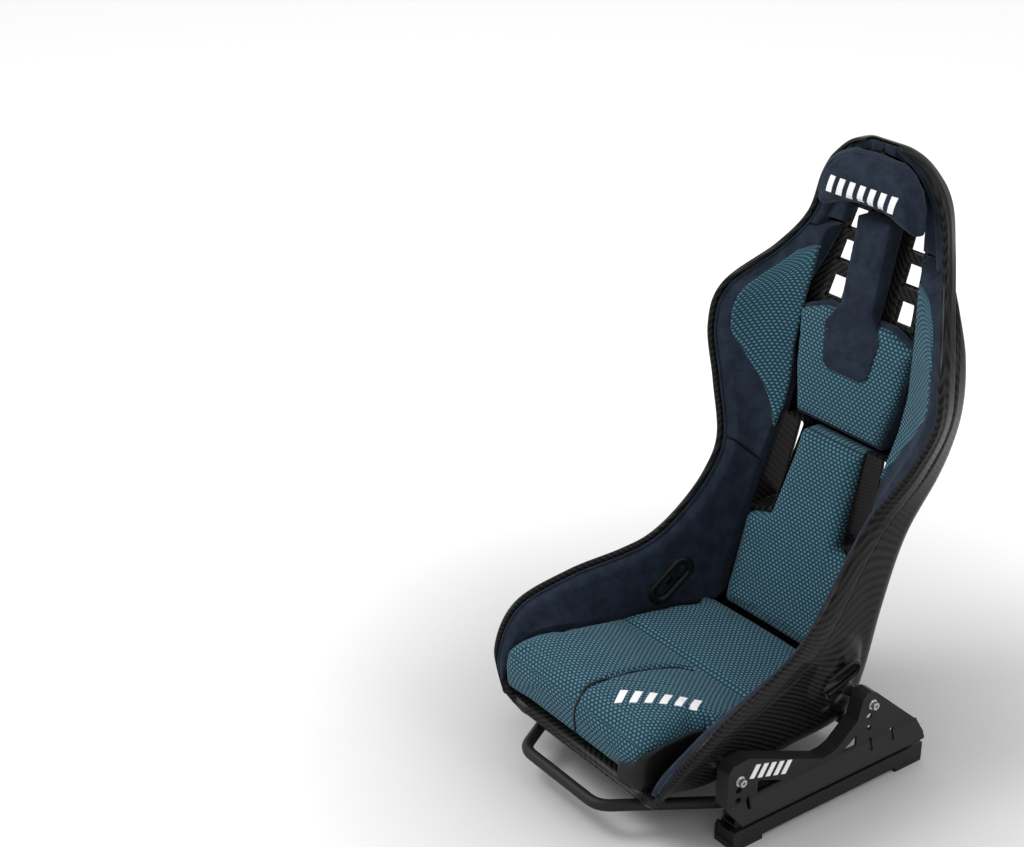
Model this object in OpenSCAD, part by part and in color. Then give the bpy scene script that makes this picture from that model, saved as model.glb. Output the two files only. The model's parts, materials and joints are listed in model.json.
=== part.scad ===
// Racing bucket seat: a carbon shell with fixed back, clip-in pads, side mounts and sliding rails.
// Origin: centre of the four floor bolts, on the floor. +Z is up, the seat faces -Y.

/* [Rails] */
// Distance between the centre lines of the two floor rails
rail_spacing = 482.5; // [478:0.5:486]
// Width of a floor rail
rail_w = 46.5; // [46:0.5:48]
// Length of a floor rail
rail_len = 430; // [425:5:460]
// Height of a rail above its feet
rail_h = 27.5; // [27:0.5:28]
// Wall thickness of the floor rail
rail_wall = 3; // [2.5:0.5:3]
// Height of the feet under the rails
foot_h = 8.5; // [6:0.5:10]
// Length of each foot
foot_len = 63; // [50:1:80]
// Distance between the floor bolts along a rail
floor_bolt_pitch = 360; // [340:5:370]
// Radius of a floor bolt hole
floor_hole_r = 4.25; // [4:0.05:4.5]
// Slide travel each way from the middle
travel = 96; // [60:12:96]
// Distance between two latch notches
notch_pitch = 12; // [10:1:14]

/* [Side mounts] */
// Sheet thickness of the side mounts
sheet = 4; // [3:0.5:5]
// Outer face of the upright plate from the middle plane
mount_x = 265; // [264:0.5:267]
// Depth of the flange that runs round the plate
flange_w = 28; // [20:1:30]
// Front seat bolt, along and up
front_bolt = [-210, 136];
// Rear seat bolt, along and up
rear_bolt = [80, 165];

/* [Shell] */
// Laminate thickness
shell_t = 4; // [3:0.5:5]
// Extra thickness of the rolled rim
rim_extra = 8; // [4:1:10]

/* [Release bar] */
// Radius of the release bar tube
bar_r = 10; // [9:0.5:10.5]
// Half the length of the straight front of the bar
bar_half = 98; // [80:1:110]
// How far in front of the origin the bar reaches
bar_front = 360; // [350:1:380]

/* [Hidden] */
$fn = 48;
eps = 0.01;

rail_x = rail_spacing / 2;
rail_in = rail_x - rail_w / 2;
rail_out = rail_x + rail_w / 2;
rail_top = foot_h + rail_h;
channel_floor = foot_h + rail_wall;
lip_w = 13;

// Slider section: foot and web run inside the floor rail, the head stands above it
slider_half = 102;
head_front = -205;
head_rear = 198;
head_half_w = 15.25;
head_z = [38, 56];
slider_foot_z = [18, 24];
web_half = 4;
head_wall = 3;

// Latch and release bar
arm_x = rail_in - 15;
pivot = [-40, 50];
pin_r = 4;
pin_hole_r = 4.05;
boss_half = 10.5;
latch_y = -120;
latch_len = 35;
latch_x = [219, 224];
screw_ys = [-180, -60, 60, 180];

// Colours
carbon = [0.07, 0.07, 0.075];
black_metal = [0.12, 0.12, 0.125];
navy = [0.13, 0.16, 0.24];
teal = [0.16, 0.33, 0.40];
steel = [0.75, 0.76, 0.78];

// Loft sections of the shell's inner face, from the front lip to the crown:
// centre y, centre z, rim y, rim z, half width at the rim, half width of the flat
SECTIONS = [
    [-325, 88, -327, 100, 200, 170],
    [-300, 100, -322, 165, 230, 188],
    [-243, 94, -265, 228, 248, 206],
    [-150, 82, -160, 261, 236, 203],
    [-20, 75, -62, 279, 215, 194],
    [110, 80, -5, 300, 199, 188],
    [158, 135, 50, 345, 186, 178],
    [200, 250, 100, 405, 178, 168],
    [240, 370, 135, 465, 186, 168],
    [268, 500, 158, 550, 229, 199],
    [272, 620, 170, 640, 262, 226],
    [281, 718, 186, 716, 248, 216],
    [302, 800, 248, 790, 188, 165],
    [321, 865, 284, 855, 150, 130],
    [333, 940, 292, 932, 128, 105],
    [326, 990, 292, 983, 94, 66],
    [306, 1011, 291, 1003, 64, 43],
    [288, 1018, 285, 1012, 35, 26]
];
spans = len(SECTIONS) - 1;

// Across a section: 0 is the middle, flat up to flat_end, a fillet up to wall_start, then the wall
flat_end = 0.6;
wall_start = 0.8;
fillet_in = 0.2;
fillet_up = 0.26;
// The rolled rim starts here
rim_start = 0.97;

function clamp(x, low, high) = min(max(x, low), high);
function steps(low, high, count) = [for (i = [0:count]) low + (high - low) * i / count];

// Smooth curve through the sections, read at t from 0 to spans
function section(t) = let(
        u = clamp(t, 0, spans - 0.0001), i = floor(u), f = u - i,
        a = SECTIONS[max(i - 1, 0)], b = SECTIONS[i],
        c = SECTIONS[i + 1], d = SECTIONS[min(i + 2, spans)])
    0.5 * (2 * b + (c - a) * f + (2 * a - 5 * b + 4 * c - d) * f * f
        + (3 * b - a - 3 * c + d) * f * f * f);

// Half section at w from 0 to 1: [across, share of the way to the rim]
function half_profile(w, rim, flat) = let(
        p = [flat * (1 - fillet_in), 0], q = [flat, 0],
        r = [flat + (rim - flat) * fillet_up, fillet_up],
        f = (w - flat_end) / (wall_start - flat_end),
        g = (w - wall_start) / (1 - wall_start))
    w < flat_end ? p * w / flat_end
    : w < wall_start ? (1 - f) * (1 - f) * p + 2 * f * (1 - f) * q + f * f * r
    : r + ([rim, 1] - r) * g;

// Point of the shell's inner face; v runs from -1 at the right rim to 1 at the left rim
function face_point(t, v) = let(s = section(t), h = half_profile(min(abs(v), 1), s[4], s[5]))
    [sign(v) * h[0], s[0] + (s[2] - s[0]) * h[1], s[1] + (s[3] - s[1]) * h[1]];
d_t = 0.02;
d_v = 0.004;
function face_normal(t, v) = let(
        a = clamp(t, d_t, spans - d_t), b = clamp(v, d_v - 1, 1 - d_v),
        n = cross(face_point(a + d_t, b) - face_point(a - d_t, b),
            face_point(a, b + d_v) - face_point(a, b - d_v)))
    n / norm(n);
function offset_point(t, v, off) = face_point(t, v) + off * face_normal(t, v);

// True where the cell around (t, v) is cut away by one of the windows [t0, t1, v0, v1]
function in_window(t, v, windows) =
    len([for (w = windows) if (t > w[0] && t < w[1] && abs(v) > w[2] && abs(v) < w[3]) 1]) > 0;

// Closed sheet between two grids of points, with windows cut through it
module sheet_between(near_points, far_points, ts, vs, windows = []) {
    rows = len(ts);
    cols = len(vs);
    last = rows * cols;
    function kept(i, j) = i >= 0 && j >= 0 && i < rows - 1 && j < cols - 1
        && !in_window((ts[i] + ts[i + 1]) / 2, (vs[j] + vs[j + 1]) / 2, windows);
    function quad(a, b, c, d) = [[a, b, c], [a, c, d]];
    faces = [for (i = [0:rows - 2]) for (j = [0:cols - 2]) if (kept(i, j))
        let(a = i * cols + j, b = a + 1, c = a + cols + 1, d = a + cols)
        each concat(
            quad(a, b, c, d),
            quad(a + last, d + last, c + last, b + last),
            kept(i - 1, j) ? [] : quad(a, a + last, b + last, b),
            kept(i + 1, j) ? [] : quad(c, c + last, d + last, d),
            kept(i, j - 1) ? [] : quad(d, d + last, a + last, a),
            kept(i, j + 1) ? [] : quad(b, b + last, c + last, c))];
    polyhedron(points = concat(near_points, far_points), faces = faces, convexity = 12);
}

// Closed skin that follows the shell between two offsets
module skin(ts, vs, near, far, rim = 0, windows = []) {
    sheet_between(
        [for (t = ts) for (v = vs) offset_point(t, v, near)],
        [for (t = ts) for (v = vs) offset_point(t, v, far + (abs(v) > rim_start ? rim : 0))],
        ts, vs, windows);
}

module both_sides() {
    children();
    mirror([1, 0, 0]) children();
}

// Bar with a rectangular section: x range, y range, z range
module block(x, y, z) {
    translate([x[0], y[0], z[0]]) cube([x[1] - x[0], y[1] - y[0], z[1] - z[0]]);
}

// Profile in the YZ plane, extruded along X between two values
module side_profile(points, x) {
    translate([x[0], 0, 0]) rotate([90, 0, 90]) linear_extrude(x[1] - x[0]) polygon(points);
}

// Profile in the XZ plane, extruded along Y between two values
module front_profile(points, y) {
    translate([0, y[1], 0]) rotate([90, 0, 0]) linear_extrude(y[1] - y[0]) polygon(points);
}

// Round rod along X at [y, z]
module rod_x(r, x, at) {
    translate([x[0], at[0], at[1]]) rotate([0, 90, 0]) cylinder(r = r, h = x[1] - x[0]);
}

// Round rod between two points
module rod(from, to, r) {
    d = to - from;
    length = norm(d);
    translate(from) rotate([0, acos(d[2] / length), atan2(d[1], d[0])]) cylinder(r = r, h = length);
}

// Mirror a half outline about x = 0
function mirrored(half) = concat(half, [for (i = [len(half) - 1:-1:0]) [-half[i][0], half[i][1]]]);

// Anticlockwise outline moved inwards by d
function inset(p, d) = [for (i = [0:len(p) - 1]) let(
        b = p[i], a = p[(i + len(p) - 1) % len(p)], c = p[(i + 1) % len(p)],
        e = (b - a) / norm(b - a), f = (c - b) / norm(c - b),
        m = [-e[1], e[0]], n = [-f[1], f[0]])
    b + (m + n) * d / (1 + m * n)];

// ---- floor rails ----

module rail() {
    difference() {
        block([rail_in, rail_out], [-rail_len / 2, rail_len / 2], [foot_h, rail_top]);
        block([rail_in + rail_wall, rail_out - rail_wall], [-rail_len / 2 - 1, rail_len / 2 + 1],
            [channel_floor, rail_top - rail_wall]);
        block([rail_in + lip_w, rail_out - lip_w], [-rail_len / 2 - 1, rail_len / 2 + 1],
            [channel_floor, rail_top + 1]);
        for (k = [-9:11])
            block([rail_in - 1, rail_in + 7.5], [-3.5, 3.5] + [1, 1] * (latch_y + k * notch_pitch),
                [rail_top - 5, rail_top + 1]);
        floor_holes();
    }
}

module floor_holes() {
    for (s = [-1, 1])
        translate([rail_x, s * floor_bolt_pitch / 2, -1]) cylinder(r = floor_hole_r, h = rail_top);
}

module rail_left() { color(black_metal) rail(); }
module rail_right() { color(black_metal) mirror([1, 0, 0]) rail(); }

module rail_feet() {
    color(black_metal) both_sides() difference() {
        for (s = [-1, 1]) {
            middle = s * (rail_len - foot_len) / 2;
            block([rail_in, rail_out], [middle - foot_len / 2, middle + foot_len / 2], [0, foot_h]);
        }
        floor_holes();
    }
}

module end_stops() {
    stop_y = rail_len / 2 - 7;
    color(black_metal) both_sides()
        for (s = [-1, 1])
            block([rail_in + rail_wall + 1, rail_out - rail_wall - 1], [-5, 5] + [1, 1] * s * stop_y,
                [channel_floor, rail_top - rail_wall - 1]);
}

// ---- sliders ----

module slider() {
    difference() {
        union() {
            block([rail_x - head_half_w, rail_x + head_half_w], [-slider_half, slider_half], slider_foot_z);
            block([rail_x - web_half, rail_x + web_half], [-slider_half, slider_half],
                [slider_foot_z[1], head_z[0]]);
            block([rail_x - head_half_w, rail_x + head_half_w], [head_front, head_rear], head_z);
        }
        block([rail_x - head_half_w + head_wall, rail_x + head_half_w - head_wall],
            [head_front - 1, head_rear + 1], [head_z[0] + head_wall, head_z[1] - head_wall]);
        for (y = screw_ys)
            translate([rail_x, y, head_z[1] - head_wall - 1]) cylinder(r = 3.05, h = head_wall + 2);
        rod_x(pin_hole_r, [rail_x - head_half_w - 1, rail_x - head_half_w + head_wall + 1], pivot);
    }
}

module slider_left() { color(black_metal) slider(); }
module slider_right() { color(black_metal) mirror([1, 0, 0]) slider(); }

module glide_shoes() {
    gap = 0.2;
    legs = 9;
    color([0.2, 0.2, 0.2]) both_sides()
        for (s = [-1, 1]) difference() {
            block([rail_in + rail_wall + gap, rail_out - rail_wall - gap],
                [-11, 11] + [1, 1] * s * (slider_half - 11),
                [channel_floor + gap, rail_top - rail_wall - gap]);
            block([rail_in + rail_wall + legs, rail_out - rail_wall - legs], [-slider_half, slider_half],
                [0, slider_foot_z[0]]);
            block([rail_x - head_half_w, rail_x + head_half_w], [-slider_half, slider_half] * 2,
                slider_foot_z);
            block([rail_x - web_half, rail_x + web_half], [-slider_half, slider_half] * 2,
                [slider_foot_z[0], rail_top]);
        }
}

module cross_tube() {
    head_in = rail_x - head_half_w;
    color(black_metal) difference() {
        rod_x(11, [-head_in, head_in], [140, 50.5]);
        rod_x(9, [-head_in - 1, head_in + 1], [140, 50.5]);
    }
}

// ---- side mounts ----

MOUNT_OUTLINE = [
    [-234, 90], [194, 90], [89, 184], [78, 190], [66, 189], [58, 180], [48, 144], [26, 126],
    [6, 110], [-10, 104], [-30, 103], [-192, 170], [-225, 168], [-234, 156]
];
MOUNT_WINDOWS = [
    [[-171, 96], [-116, 98], [-170, 121]],
    [[16, 96], [49, 96], [49, 116]]
];
SPARE_HOLES = [[-211, 118], [-211, 99], [76, 143], [76, 120]];
BAND_SLOTS = [-190, 82, 132];
band_out = 12.5;
band_bottom = 56;

module mount_holes() {
    for (b = [front_bolt, rear_bolt]) rod_x(4.2, [mount_x - 2 * sheet, mount_x + 1], b);
    for (h = SPARE_HOLES) {
        rod_x(5, [mount_x - 2 * sheet, mount_x + 1], h + [1.5, 0]);
        rod_x(5, [mount_x - 2 * sheet, mount_x + 1], h - [1.5, 0]);
    }
    for (y = BAND_SLOTS) {
        block([mount_x - 2 * sheet, mount_x + band_out + 1], [y - 4, y + 4], [80, 95]);
        rod_x(4, [mount_x - 2 * sheet, mount_x + band_out + 1], [y, 80]);
        rod_x(4, [mount_x - 2 * sheet, mount_x + band_out + 1], [y, 95]);
    }
    for (w = MOUNT_WINDOWS) side_profile(w, [mount_x - 2 * sheet, mount_x + 1]);
}

module side_mount() {
    rim_points = inset(MOUNT_OUTLINE, sheet);
    flange_z = [head_z[1], head_z[1] + sheet];
    difference() {
        union() {
            side_profile(MOUNT_OUTLINE, [mount_x - sheet, mount_x]);
            difference() {
                side_profile(MOUNT_OUTLINE, [mount_x - flange_w, mount_x - sheet]);
                side_profile(rim_points, [mount_x - flange_w - 1, mount_x]);
                block([0, mount_x], [-230 + eps, 185], [80, 95]);
            }
            intersection() {
                front_profile([
                    [mount_x - sheet, 92], [mount_x - sheet, 90], [mount_x + band_out - sheet, 60],
                    [mount_x + band_out - sheet, band_bottom], [mount_x + band_out, band_bottom],
                    [mount_x + band_out, 60], [mount_x, 90], [mount_x, 92]
                ], [-240, 210]);
                side_profile([[-234, 92], [-234, 88], [-211, band_bottom], [202, band_bottom], [202, 70],
                    [194, 90], [194, 92]], [200, 300]);
            }
            block([mount_x - flange_w, mount_x + band_out - sheet], [-205, 198], flange_z);
        }
        mount_holes();
        for (y = screw_ys)
            translate([rail_x, y, flange_z[0] - 1]) cylinder(r = 3.05, h = sheet + 2);
    }
}

module side_mount_left() { color(black_metal) side_mount(); }
module side_mount_right() { color(black_metal) mirror([1, 0, 0]) side_mount(); }

module mount_screws() {
    top = head_z[1] + sheet;
    color(steel) both_sides()
        for (y = screw_ys) translate([rail_x, y, 0]) {
            translate([0, 0, head_z[1] - 6]) cylinder(r = 3, h = 6 + sheet);
            difference() {
                translate([0, 0, top]) cylinder(r = 5, h = 3.5);
                translate([0, 0, top + 1.5]) cylinder(r = 2.3, h = 3, $fn = 6);
            }
        }
}

// ---- seat bolts, from the side mount to the shell ----

washer_t = 1.6;
boss_len = 9;
// Outer face of the shell at the front and the rear bolt, from the middle plane
BOLTS = [[front_bolt, 228], [rear_bolt, 203]];

module seat_bolts() {
    head_x = mount_x + washer_t;
    color(steel) both_sides() for (b = BOLTS) difference() {
        union() {
            rod_x(6.5, [head_x, head_x + 8], b[0]);
            rod_x(4, [b[1] + 2, head_x], b[0]);
        }
        translate([head_x + 4, b[0][0], b[0][1]]) rotate([0, 90, 0]) cylinder(r = 3.4, h = 5, $fn = 6);
    }
}

module ring_x(outer, inner, x, at) {
    difference() {
        rod_x(outer, x, at);
        rod_x(inner, [x[0] - 1, x[1] + 1], at);
    }
}

module bolt_washers() {
    color(steel) both_sides() for (b = BOLTS)
        ring_x(9, 4.2, [mount_x, mount_x + washer_t], b[0]);
}

module seat_spacers() {
    color(black_metal) both_sides() for (b = BOLTS)
        ring_x(9.5, 4.3, [b[1] + boss_len, mount_x - sheet], b[0]);
}

module seat_bosses() {
    color(steel) both_sides() for (b = BOLTS)
        ring_x(13, 4.05, [b[1], b[1] + boss_len], b[0]);
}

// ---- shell ----

SHELL_T = steps(0, spans, spans * 4);
SHELL_HALF = concat(steps(0, flat_end, 10), [0.67, 0.74], steps(wall_start, 1, 5));
SHELL_V = concat([for (i = [len(SHELL_HALF) - 1:-1:1]) -SHELL_HALF[i]], SHELL_HALF);
// Windows through the shell: louvres, slots beside the lumbar pad, lap belt slots
LOUVER_WINDOW = [11.25, 13.25, 0.24, 0.48];
LUMBAR_SLOT = [7.75, 9, 0.36, 0.54];
BELT_WINDOW = [4.25, 5.75, 0.84, 0.92];

module shell() {
    color(carbon) skin(SHELL_T, SHELL_V, 0, shell_t, rim_extra, [LOUVER_WINDOW, LUMBAR_SLOT, BELT_WINDOW]);
}

// Panel with three slots, clipped behind the window beside the spine
LOUVER_T = [11.2, 11.35, 11.75, 12.05, 12.45, 12.75, 13.1, 13.3];
module louver() {
    color(carbon) skin(LOUVER_T, [0.22, 0.27, 0.45, 0.5], shell_t + 0.3, shell_t + 5, 0,
        [for (k = [1, 3, 5]) [LOUVER_T[k], LOUVER_T[k + 1], 0.27, 0.45]]);
}

module louver_left() { louver(); }
module louver_right() { mirror([1, 0, 0]) louver(); }

// Oblong collar of the lap belt slot
belt_at = [191, 44, 201];
belt_depth = 54;
belt_slope = 32;
belt_lean = 8;

module oblong(length, width, h) {
    reach = (length - width) / 2;
    for (s = [-1, 1]) translate([s * reach, 0, 0]) cylinder(r = width / 2, h = h, center = true);
    cube([2 * reach, width, h], center = true);
}

module belt_frame() {
    translate(belt_at) rotate([0, belt_lean, 0]) rotate([belt_slope, 0, 0]) rotate([90, 0, 90]) children();
}

module belt_guide() {
    color([0.05, 0.05, 0.05])
        belt_frame()
            difference() {
                oblong(88, 46, belt_depth);
                oblong(68, 26, belt_depth + 1);
            }
}

module belt_guide_left() { belt_guide(); }
module belt_guide_right() { mirror([1, 0, 0]) belt_guide(); }

// Deep frame of the slot beside the lumbar pad, from the pads back to the shell
SLOT_FRAME = [[84, 348], [134, 348], [124, 508], [74, 508]];
module slot_frame() {
    color([0.05, 0.05, 0.05]) intersection() {
        difference() {
            front_profile(SLOT_FRAME, [100, 300]);
            front_profile(inset(SLOT_FRAME, 3), [90, 310]);
        }
        side_profile([[171, 340], [229, 340], [236.5, 364], [265, 500], [267, 512], [228, 512]], [60, 150]);
    }
}

module slot_frame_left() { slot_frame(); }
module slot_frame_right() { mirror([1, 0, 0]) slot_frame(); }

// ---- pads ----

pad_gap = 2;
neck_pad_t = 15;
rim_margin = 8;
pad_depth = 17;
seam_gap = 0.05;

// Inner edge lines of the side pads: t, then the point on the left side
BOLSTER_EDGE = [
    [0.5, 214, -326, 112], [1, 212, -318, 140], [1.5, 212, -300, 168], [2, 208, -270, 190],
    [2.3, 198, -235, 196], [2.5, 189.5, -206, 194], [3, 189.5, -156, 180], [4, 189, -40, 166],
    [4.5, 178, 10, 165], [5, 156, 58, 166], [5.45, 137, 96, 176], [6, 134, 110, 222],
    [7, 138, 147, 322], [7.5, 138, 162, 365], [8, 136, 182, 422]
];
SHOULDER_EDGE = [
    [8.05, 136, 183, 425], [8.5, 134, 200, 470], [9, 130, 226, 520], [9.4, 130, 240, 560],
    [10, 135, 250, 624], [10.75, 135, 259, 694], [11, 130, 262, 716], [11.5, 120, 268, 758], [12.2, 114, 273, 803],
    [12.7, 102, 284, 846]
];
// Where the side pads stop on the shell, below their inner edges
PAD_LOW = [
    [0.5, 0.93], [1, 0.9], [1.5, 0.88], [2, 0.86], [2.4, 0.82], [5, 0.8], [5.6, 0.74], [6, 0.7],
    [8, 0.64], [9, 0.56], [9.4, 0.5], [11.5, 0.49], [12.7, 0.52]
];
hold_v = 0.86;
hold_depth = 24;

function edge_point(line, t) = [for (k = [1:3]) lookup(t, [for (p = line) [p[0], p[k]]])];
function pad_high(t) = 1 - (1 - wall_start) * rim_margin / norm(face_point(t, 1) - face_point(t, wall_start));
// Front of a side pad: q runs from 0 at the inner edge to 1 at the rim
function pad_front(line, t, q) = let(
        a = edge_point(line, t), c = offset_point(t, pad_high(t), -pad_depth),
        b = offset_point(t, hold_v, -hold_depth) / 2 + (a + c) / 4)
    (1 - q) * (1 - q) * a + 2 * q * (1 - q) * b + q * q * c;
function pad_back(t, q) = let(low = lookup(t, PAD_LOW))
    offset_point(t, low + (pad_high(t) - low) * q, -pad_gap);

module side_pad(line, ts, qs, windows = []) {
    sheet_between(
        [for (t = ts) for (q = qs) pad_front(line, t, q)],
        [for (t = ts) for (q = qs) pad_back(t, q)],
        ts, qs, windows);
}

// Pillow in front of the crown, on a narrower block that reaches back into the shell
module head_pad() {
    half = [[118, 891], [119, 905], [114, 940], [102, 968], [82, 990], [54, 1001]];
    color(navy) {
        intersection() {
            front_profile(mirrored(half), [200, 400]);
            side_profile([[253, 891], [270, 891], [270, 1001], [262, 1001], [248, 980], [243, 930]],
                [-150, 150]);
        }
        block([-54, 54], [269, 300], [905, 965]);
    }
}

module spine_strip() {
    half = [[38, 617], [53, 628], [64, 695], [38, 735], [38, 888]];
    color(navy) intersection() {
        front_profile(mirrored(half), [200, 400]);
        side_profile([[230, 615], [235, 615], [251, 720], [276, 722], [298, 800], [318, 880],
            [318, 888], [278, 888], [253, 740], [244, 700]], [-90, 90]);
    }
}

module upper_back_pad() {
    half = [[99, 519], [118, 600], [131, 696], [74, 718]];
    color(teal) intersection() {
        front_profile(mirrored(half), [200, 300]);
        side_profile([[220.5, 518], [264, 518], [269, 620], [276, 719], [252.5, 719]], [-150, 150]);
    }
}

module lumbar_pad() {
    half = [[123, 170], [129, 200], [133, 326], [80, 344], [67, 505]];
    color(teal) intersection() {
        front_profile(mirrored(half), [50, 300]);
        side_profile([[101, 170], [162, 170], [194, 250], [234, 370], [263, 506], [214, 506],
            [159, 348], [104, 200]], [-150, 150]);
    }
}

// The cushion reaches the left side pad only behind the hollow at its left front corner
CUSHION_PLAN = [
    [146, -334], [160, -328], [166, -305], [165, -260], [164, -222], [171, -200], [186, -188],
    [187, -150], [186, -50], [175, 14], [151, 62], [130, 96], [-130, 96], [-151, 62], [-175, 14],
    [-186, -50], [-187, -150], [-187.5, -208], [-193, -236], [-204, -290], [-206, -314], [-198, -329], [-146, -334]
];
CUSHION_SIDE = [
    [-328, 116], [-300, 112], [-240, 104], [-140, 92], [-20, 84], [60, 86], [94, 120], [97, 172],
    [92, 176], [0, 172], [-85, 174], [-150, 189], [-200, 201], [-240, 207], [-270, 210], [-300, 207],
    [-322, 198], [-334, 168], [-334, 120]
];
module seat_cushion() {
    across_half = [[150, 60], [150, 112], [176, 135], [208, 170], [208, 240]];
    color(teal) difference() {
        intersection() {
            linear_extrude(300) polygon(CUSHION_PLAN);
            front_profile(mirrored(across_half), [-400, 200]);
            side_profile(CUSHION_SIDE, [-210, 210]);
        }
        both_sides() belt_frame() oblong(90, 48, 2 * belt_depth);
    }
}

BOLSTER_T = concat([0.5, 0.75], steps(1, 8, 28));
BOLSTER_Q = [0, 0.15, 0.32, 0.5, 0.66, 0.8, 0.9, 1];
module bolster() {
    color(navy) difference() {
        side_pad(BOLSTER_EDGE, BOLSTER_T, BOLSTER_Q);
        belt_frame() oblong(90, 48, 2 * belt_depth);
    }
}

module bolster_left() { bolster(); }
module bolster_right() { mirror([1, 0, 0]) bolster(); }

SHOULDER_T = concat([8.05], steps(8.25, 12.5, 17), [12.7]);
WING_T = concat([9.29], steps(9.5, 11.75, 9), [11.96]);
SHOULDER_Q = [0, 0.12, 0.2, 0.36, 0.5, 0.62, 0.76, 0.88, 1];
module shoulder_pad() {
    color(navy) side_pad(SHOULDER_EDGE, SHOULDER_T, SHOULDER_Q, [[9.25, 12, 0.12, 0.62]]);
}

module shoulder_pad_left() { shoulder_pad(); }
module shoulder_pad_right() { mirror([1, 0, 0]) shoulder_pad(); }

// Knit panel in the window of the shoulder pad
module wing_insert() {
    color(teal) side_pad(SHOULDER_EDGE, WING_T, [0.135, 0.2, 0.36, 0.5, 0.605]);
}

module wing_insert_left() { wing_insert(); }
module wing_insert_right() { mirror([1, 0, 0]) wing_insert(); }

module neck_pad() {
    color(navy) skin(steps(12.78, 15, 9), [0.48, 0.54, 0.6, 0.67, 0.74, 0.8, 0.86, 0.91, 0.96],
        -neck_pad_t, -pad_gap);
}

module neck_pad_left() { neck_pad(); }
module neck_pad_right() { mirror([1, 0, 0]) neck_pad(); }

// Hook-and-loop patches between the pads and the shell
module pad_fasteners() {
    places = [[2.2, 0.2], [3.6, 0.2], [6.7, 0.16], [7.6, 0.16], [9.4, 0.2], [10.6, 0.2]];
    color([0.1, 0.1, 0.1]) both_sides()
        for (p = places)
            skin(steps(p[0], p[0] + 0.3, 2), [p[1] - 0.08, p[1] + 0.08], 0.1 - pad_gap, -0.2);
}

// ---- release bar and latches ----

module release_bar() {
    front = [bar_half, -bar_front, 55];
    bend = [arm_x, -188, 50];
    rear = [arm_x, pivot[0], pivot[1]];
    color(black_metal) difference() {
        union() {
            rod_x(bar_r, [-bar_half, bar_half], [-bar_front, front[2]]);
            both_sides() {
                translate(front) sphere(r = bar_r);
                rod(front, bend, bar_r);
                translate(bend) sphere(r = bar_r);
                rod(bend, rear, bar_r);
                rod_x(12, [arm_x - boss_half, arm_x + boss_half], pivot);
            }
        }
        rod_x(pin_hole_r, [-rail_x, rail_x], pivot);
    }
}

module pivot_pins() {
    head_in = rail_x - head_half_w;
    flange_x = arm_x - boss_half - 0.5;
    color(steel) both_sides() {
        rod_x(pin_r, [flange_x, head_in + head_wall], pivot);
        rod_x(7, [flange_x - 3.5, flange_x], pivot);
    }
}

// Three turns of a torsion spring round each pivot pin
module return_springs() {
    wire = 1;
    color(steel) both_sides()
        for (k = [0:2])
            translate([arm_x + boss_half + 2 + k * 2.2, pivot[0], pivot[1]]) rotate([0, 90, 0])
                rotate_extrude() translate([6.5, 0]) circle(r = wire, $fn = 24);
}

module latch() {
    tip = rail_top + 0.4;
    color(steel) {
        difference() {
            block(latch_x, [-latch_len / 2, latch_len / 2] + [1, 1] * latch_y, [tip, 64]);
            for (s = [-1, 1])
                block([0, 300], [-2.5, 2.5] + [1, 1] * (latch_y + s * notch_pitch / 2), [0, tip + 4]);
        }
        block([arm_x - 7, latch_x[0]], [-10, 10] + [1, 1] * latch_y, [61, 64]);
    }
}

module latch_left() { latch(); }
module latch_right() { mirror([1, 0, 0]) latch(); }

module latch_guides() {
    inner = rail_x - head_half_w;
    slack = 0.3;
    color(black_metal) both_sides()
        for (s = [-1, 1]) {
            middle = latch_y + s * (latch_len / 2 + slack + 4);
            block([latch_x[0] - 1, inner], [middle - 4, middle + 4], head_z);
        }
}

rail_left();
rail_right();
rail_feet();
end_stops();
slider_left();
slider_right();
glide_shoes();
cross_tube();
side_mount_left();
side_mount_right();
mount_screws();
seat_bolts();
bolt_washers();
seat_spacers();
seat_bosses();
shell();
louver_left();
louver_right();
belt_guide_left();
belt_guide_right();
slot_frame_left();
slot_frame_right();
neck_pad_left();
neck_pad_right();
head_pad();
spine_strip();
upper_back_pad();
lumbar_pad();
seat_cushion();
bolster_left();
bolster_right();
shoulder_pad_left();
shoulder_pad_right();
wing_insert_left();
wing_insert_right();
pad_fasteners();
release_bar();
pivot_pins();
return_springs();
latch_left();
latch_right();
latch_guides();
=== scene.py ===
import json
import math

import bmesh
import bpy
import numpy as np
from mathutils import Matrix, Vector
from mathutils.bvhtree import BVHTree

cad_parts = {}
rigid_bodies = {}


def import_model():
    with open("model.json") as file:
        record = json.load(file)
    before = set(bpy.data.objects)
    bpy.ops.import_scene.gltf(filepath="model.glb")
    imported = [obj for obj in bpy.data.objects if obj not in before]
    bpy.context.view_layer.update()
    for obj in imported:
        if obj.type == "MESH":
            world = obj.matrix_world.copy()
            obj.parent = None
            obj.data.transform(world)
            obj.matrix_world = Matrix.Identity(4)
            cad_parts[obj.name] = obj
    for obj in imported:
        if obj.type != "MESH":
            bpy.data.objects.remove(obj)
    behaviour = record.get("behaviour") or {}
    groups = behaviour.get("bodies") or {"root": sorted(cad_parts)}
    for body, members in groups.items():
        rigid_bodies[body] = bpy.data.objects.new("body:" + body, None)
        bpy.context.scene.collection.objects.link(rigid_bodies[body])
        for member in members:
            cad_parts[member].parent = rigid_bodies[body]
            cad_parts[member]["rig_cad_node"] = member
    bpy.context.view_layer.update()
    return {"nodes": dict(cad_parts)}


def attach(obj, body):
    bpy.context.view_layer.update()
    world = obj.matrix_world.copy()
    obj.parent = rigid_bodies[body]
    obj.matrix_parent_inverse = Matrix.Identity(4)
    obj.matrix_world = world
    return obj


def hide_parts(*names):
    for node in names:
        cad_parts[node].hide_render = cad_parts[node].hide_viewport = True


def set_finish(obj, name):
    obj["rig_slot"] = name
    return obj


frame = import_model()
nodes = frame["nodes"]
CARRIAGE = "seat_carriage"
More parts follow.
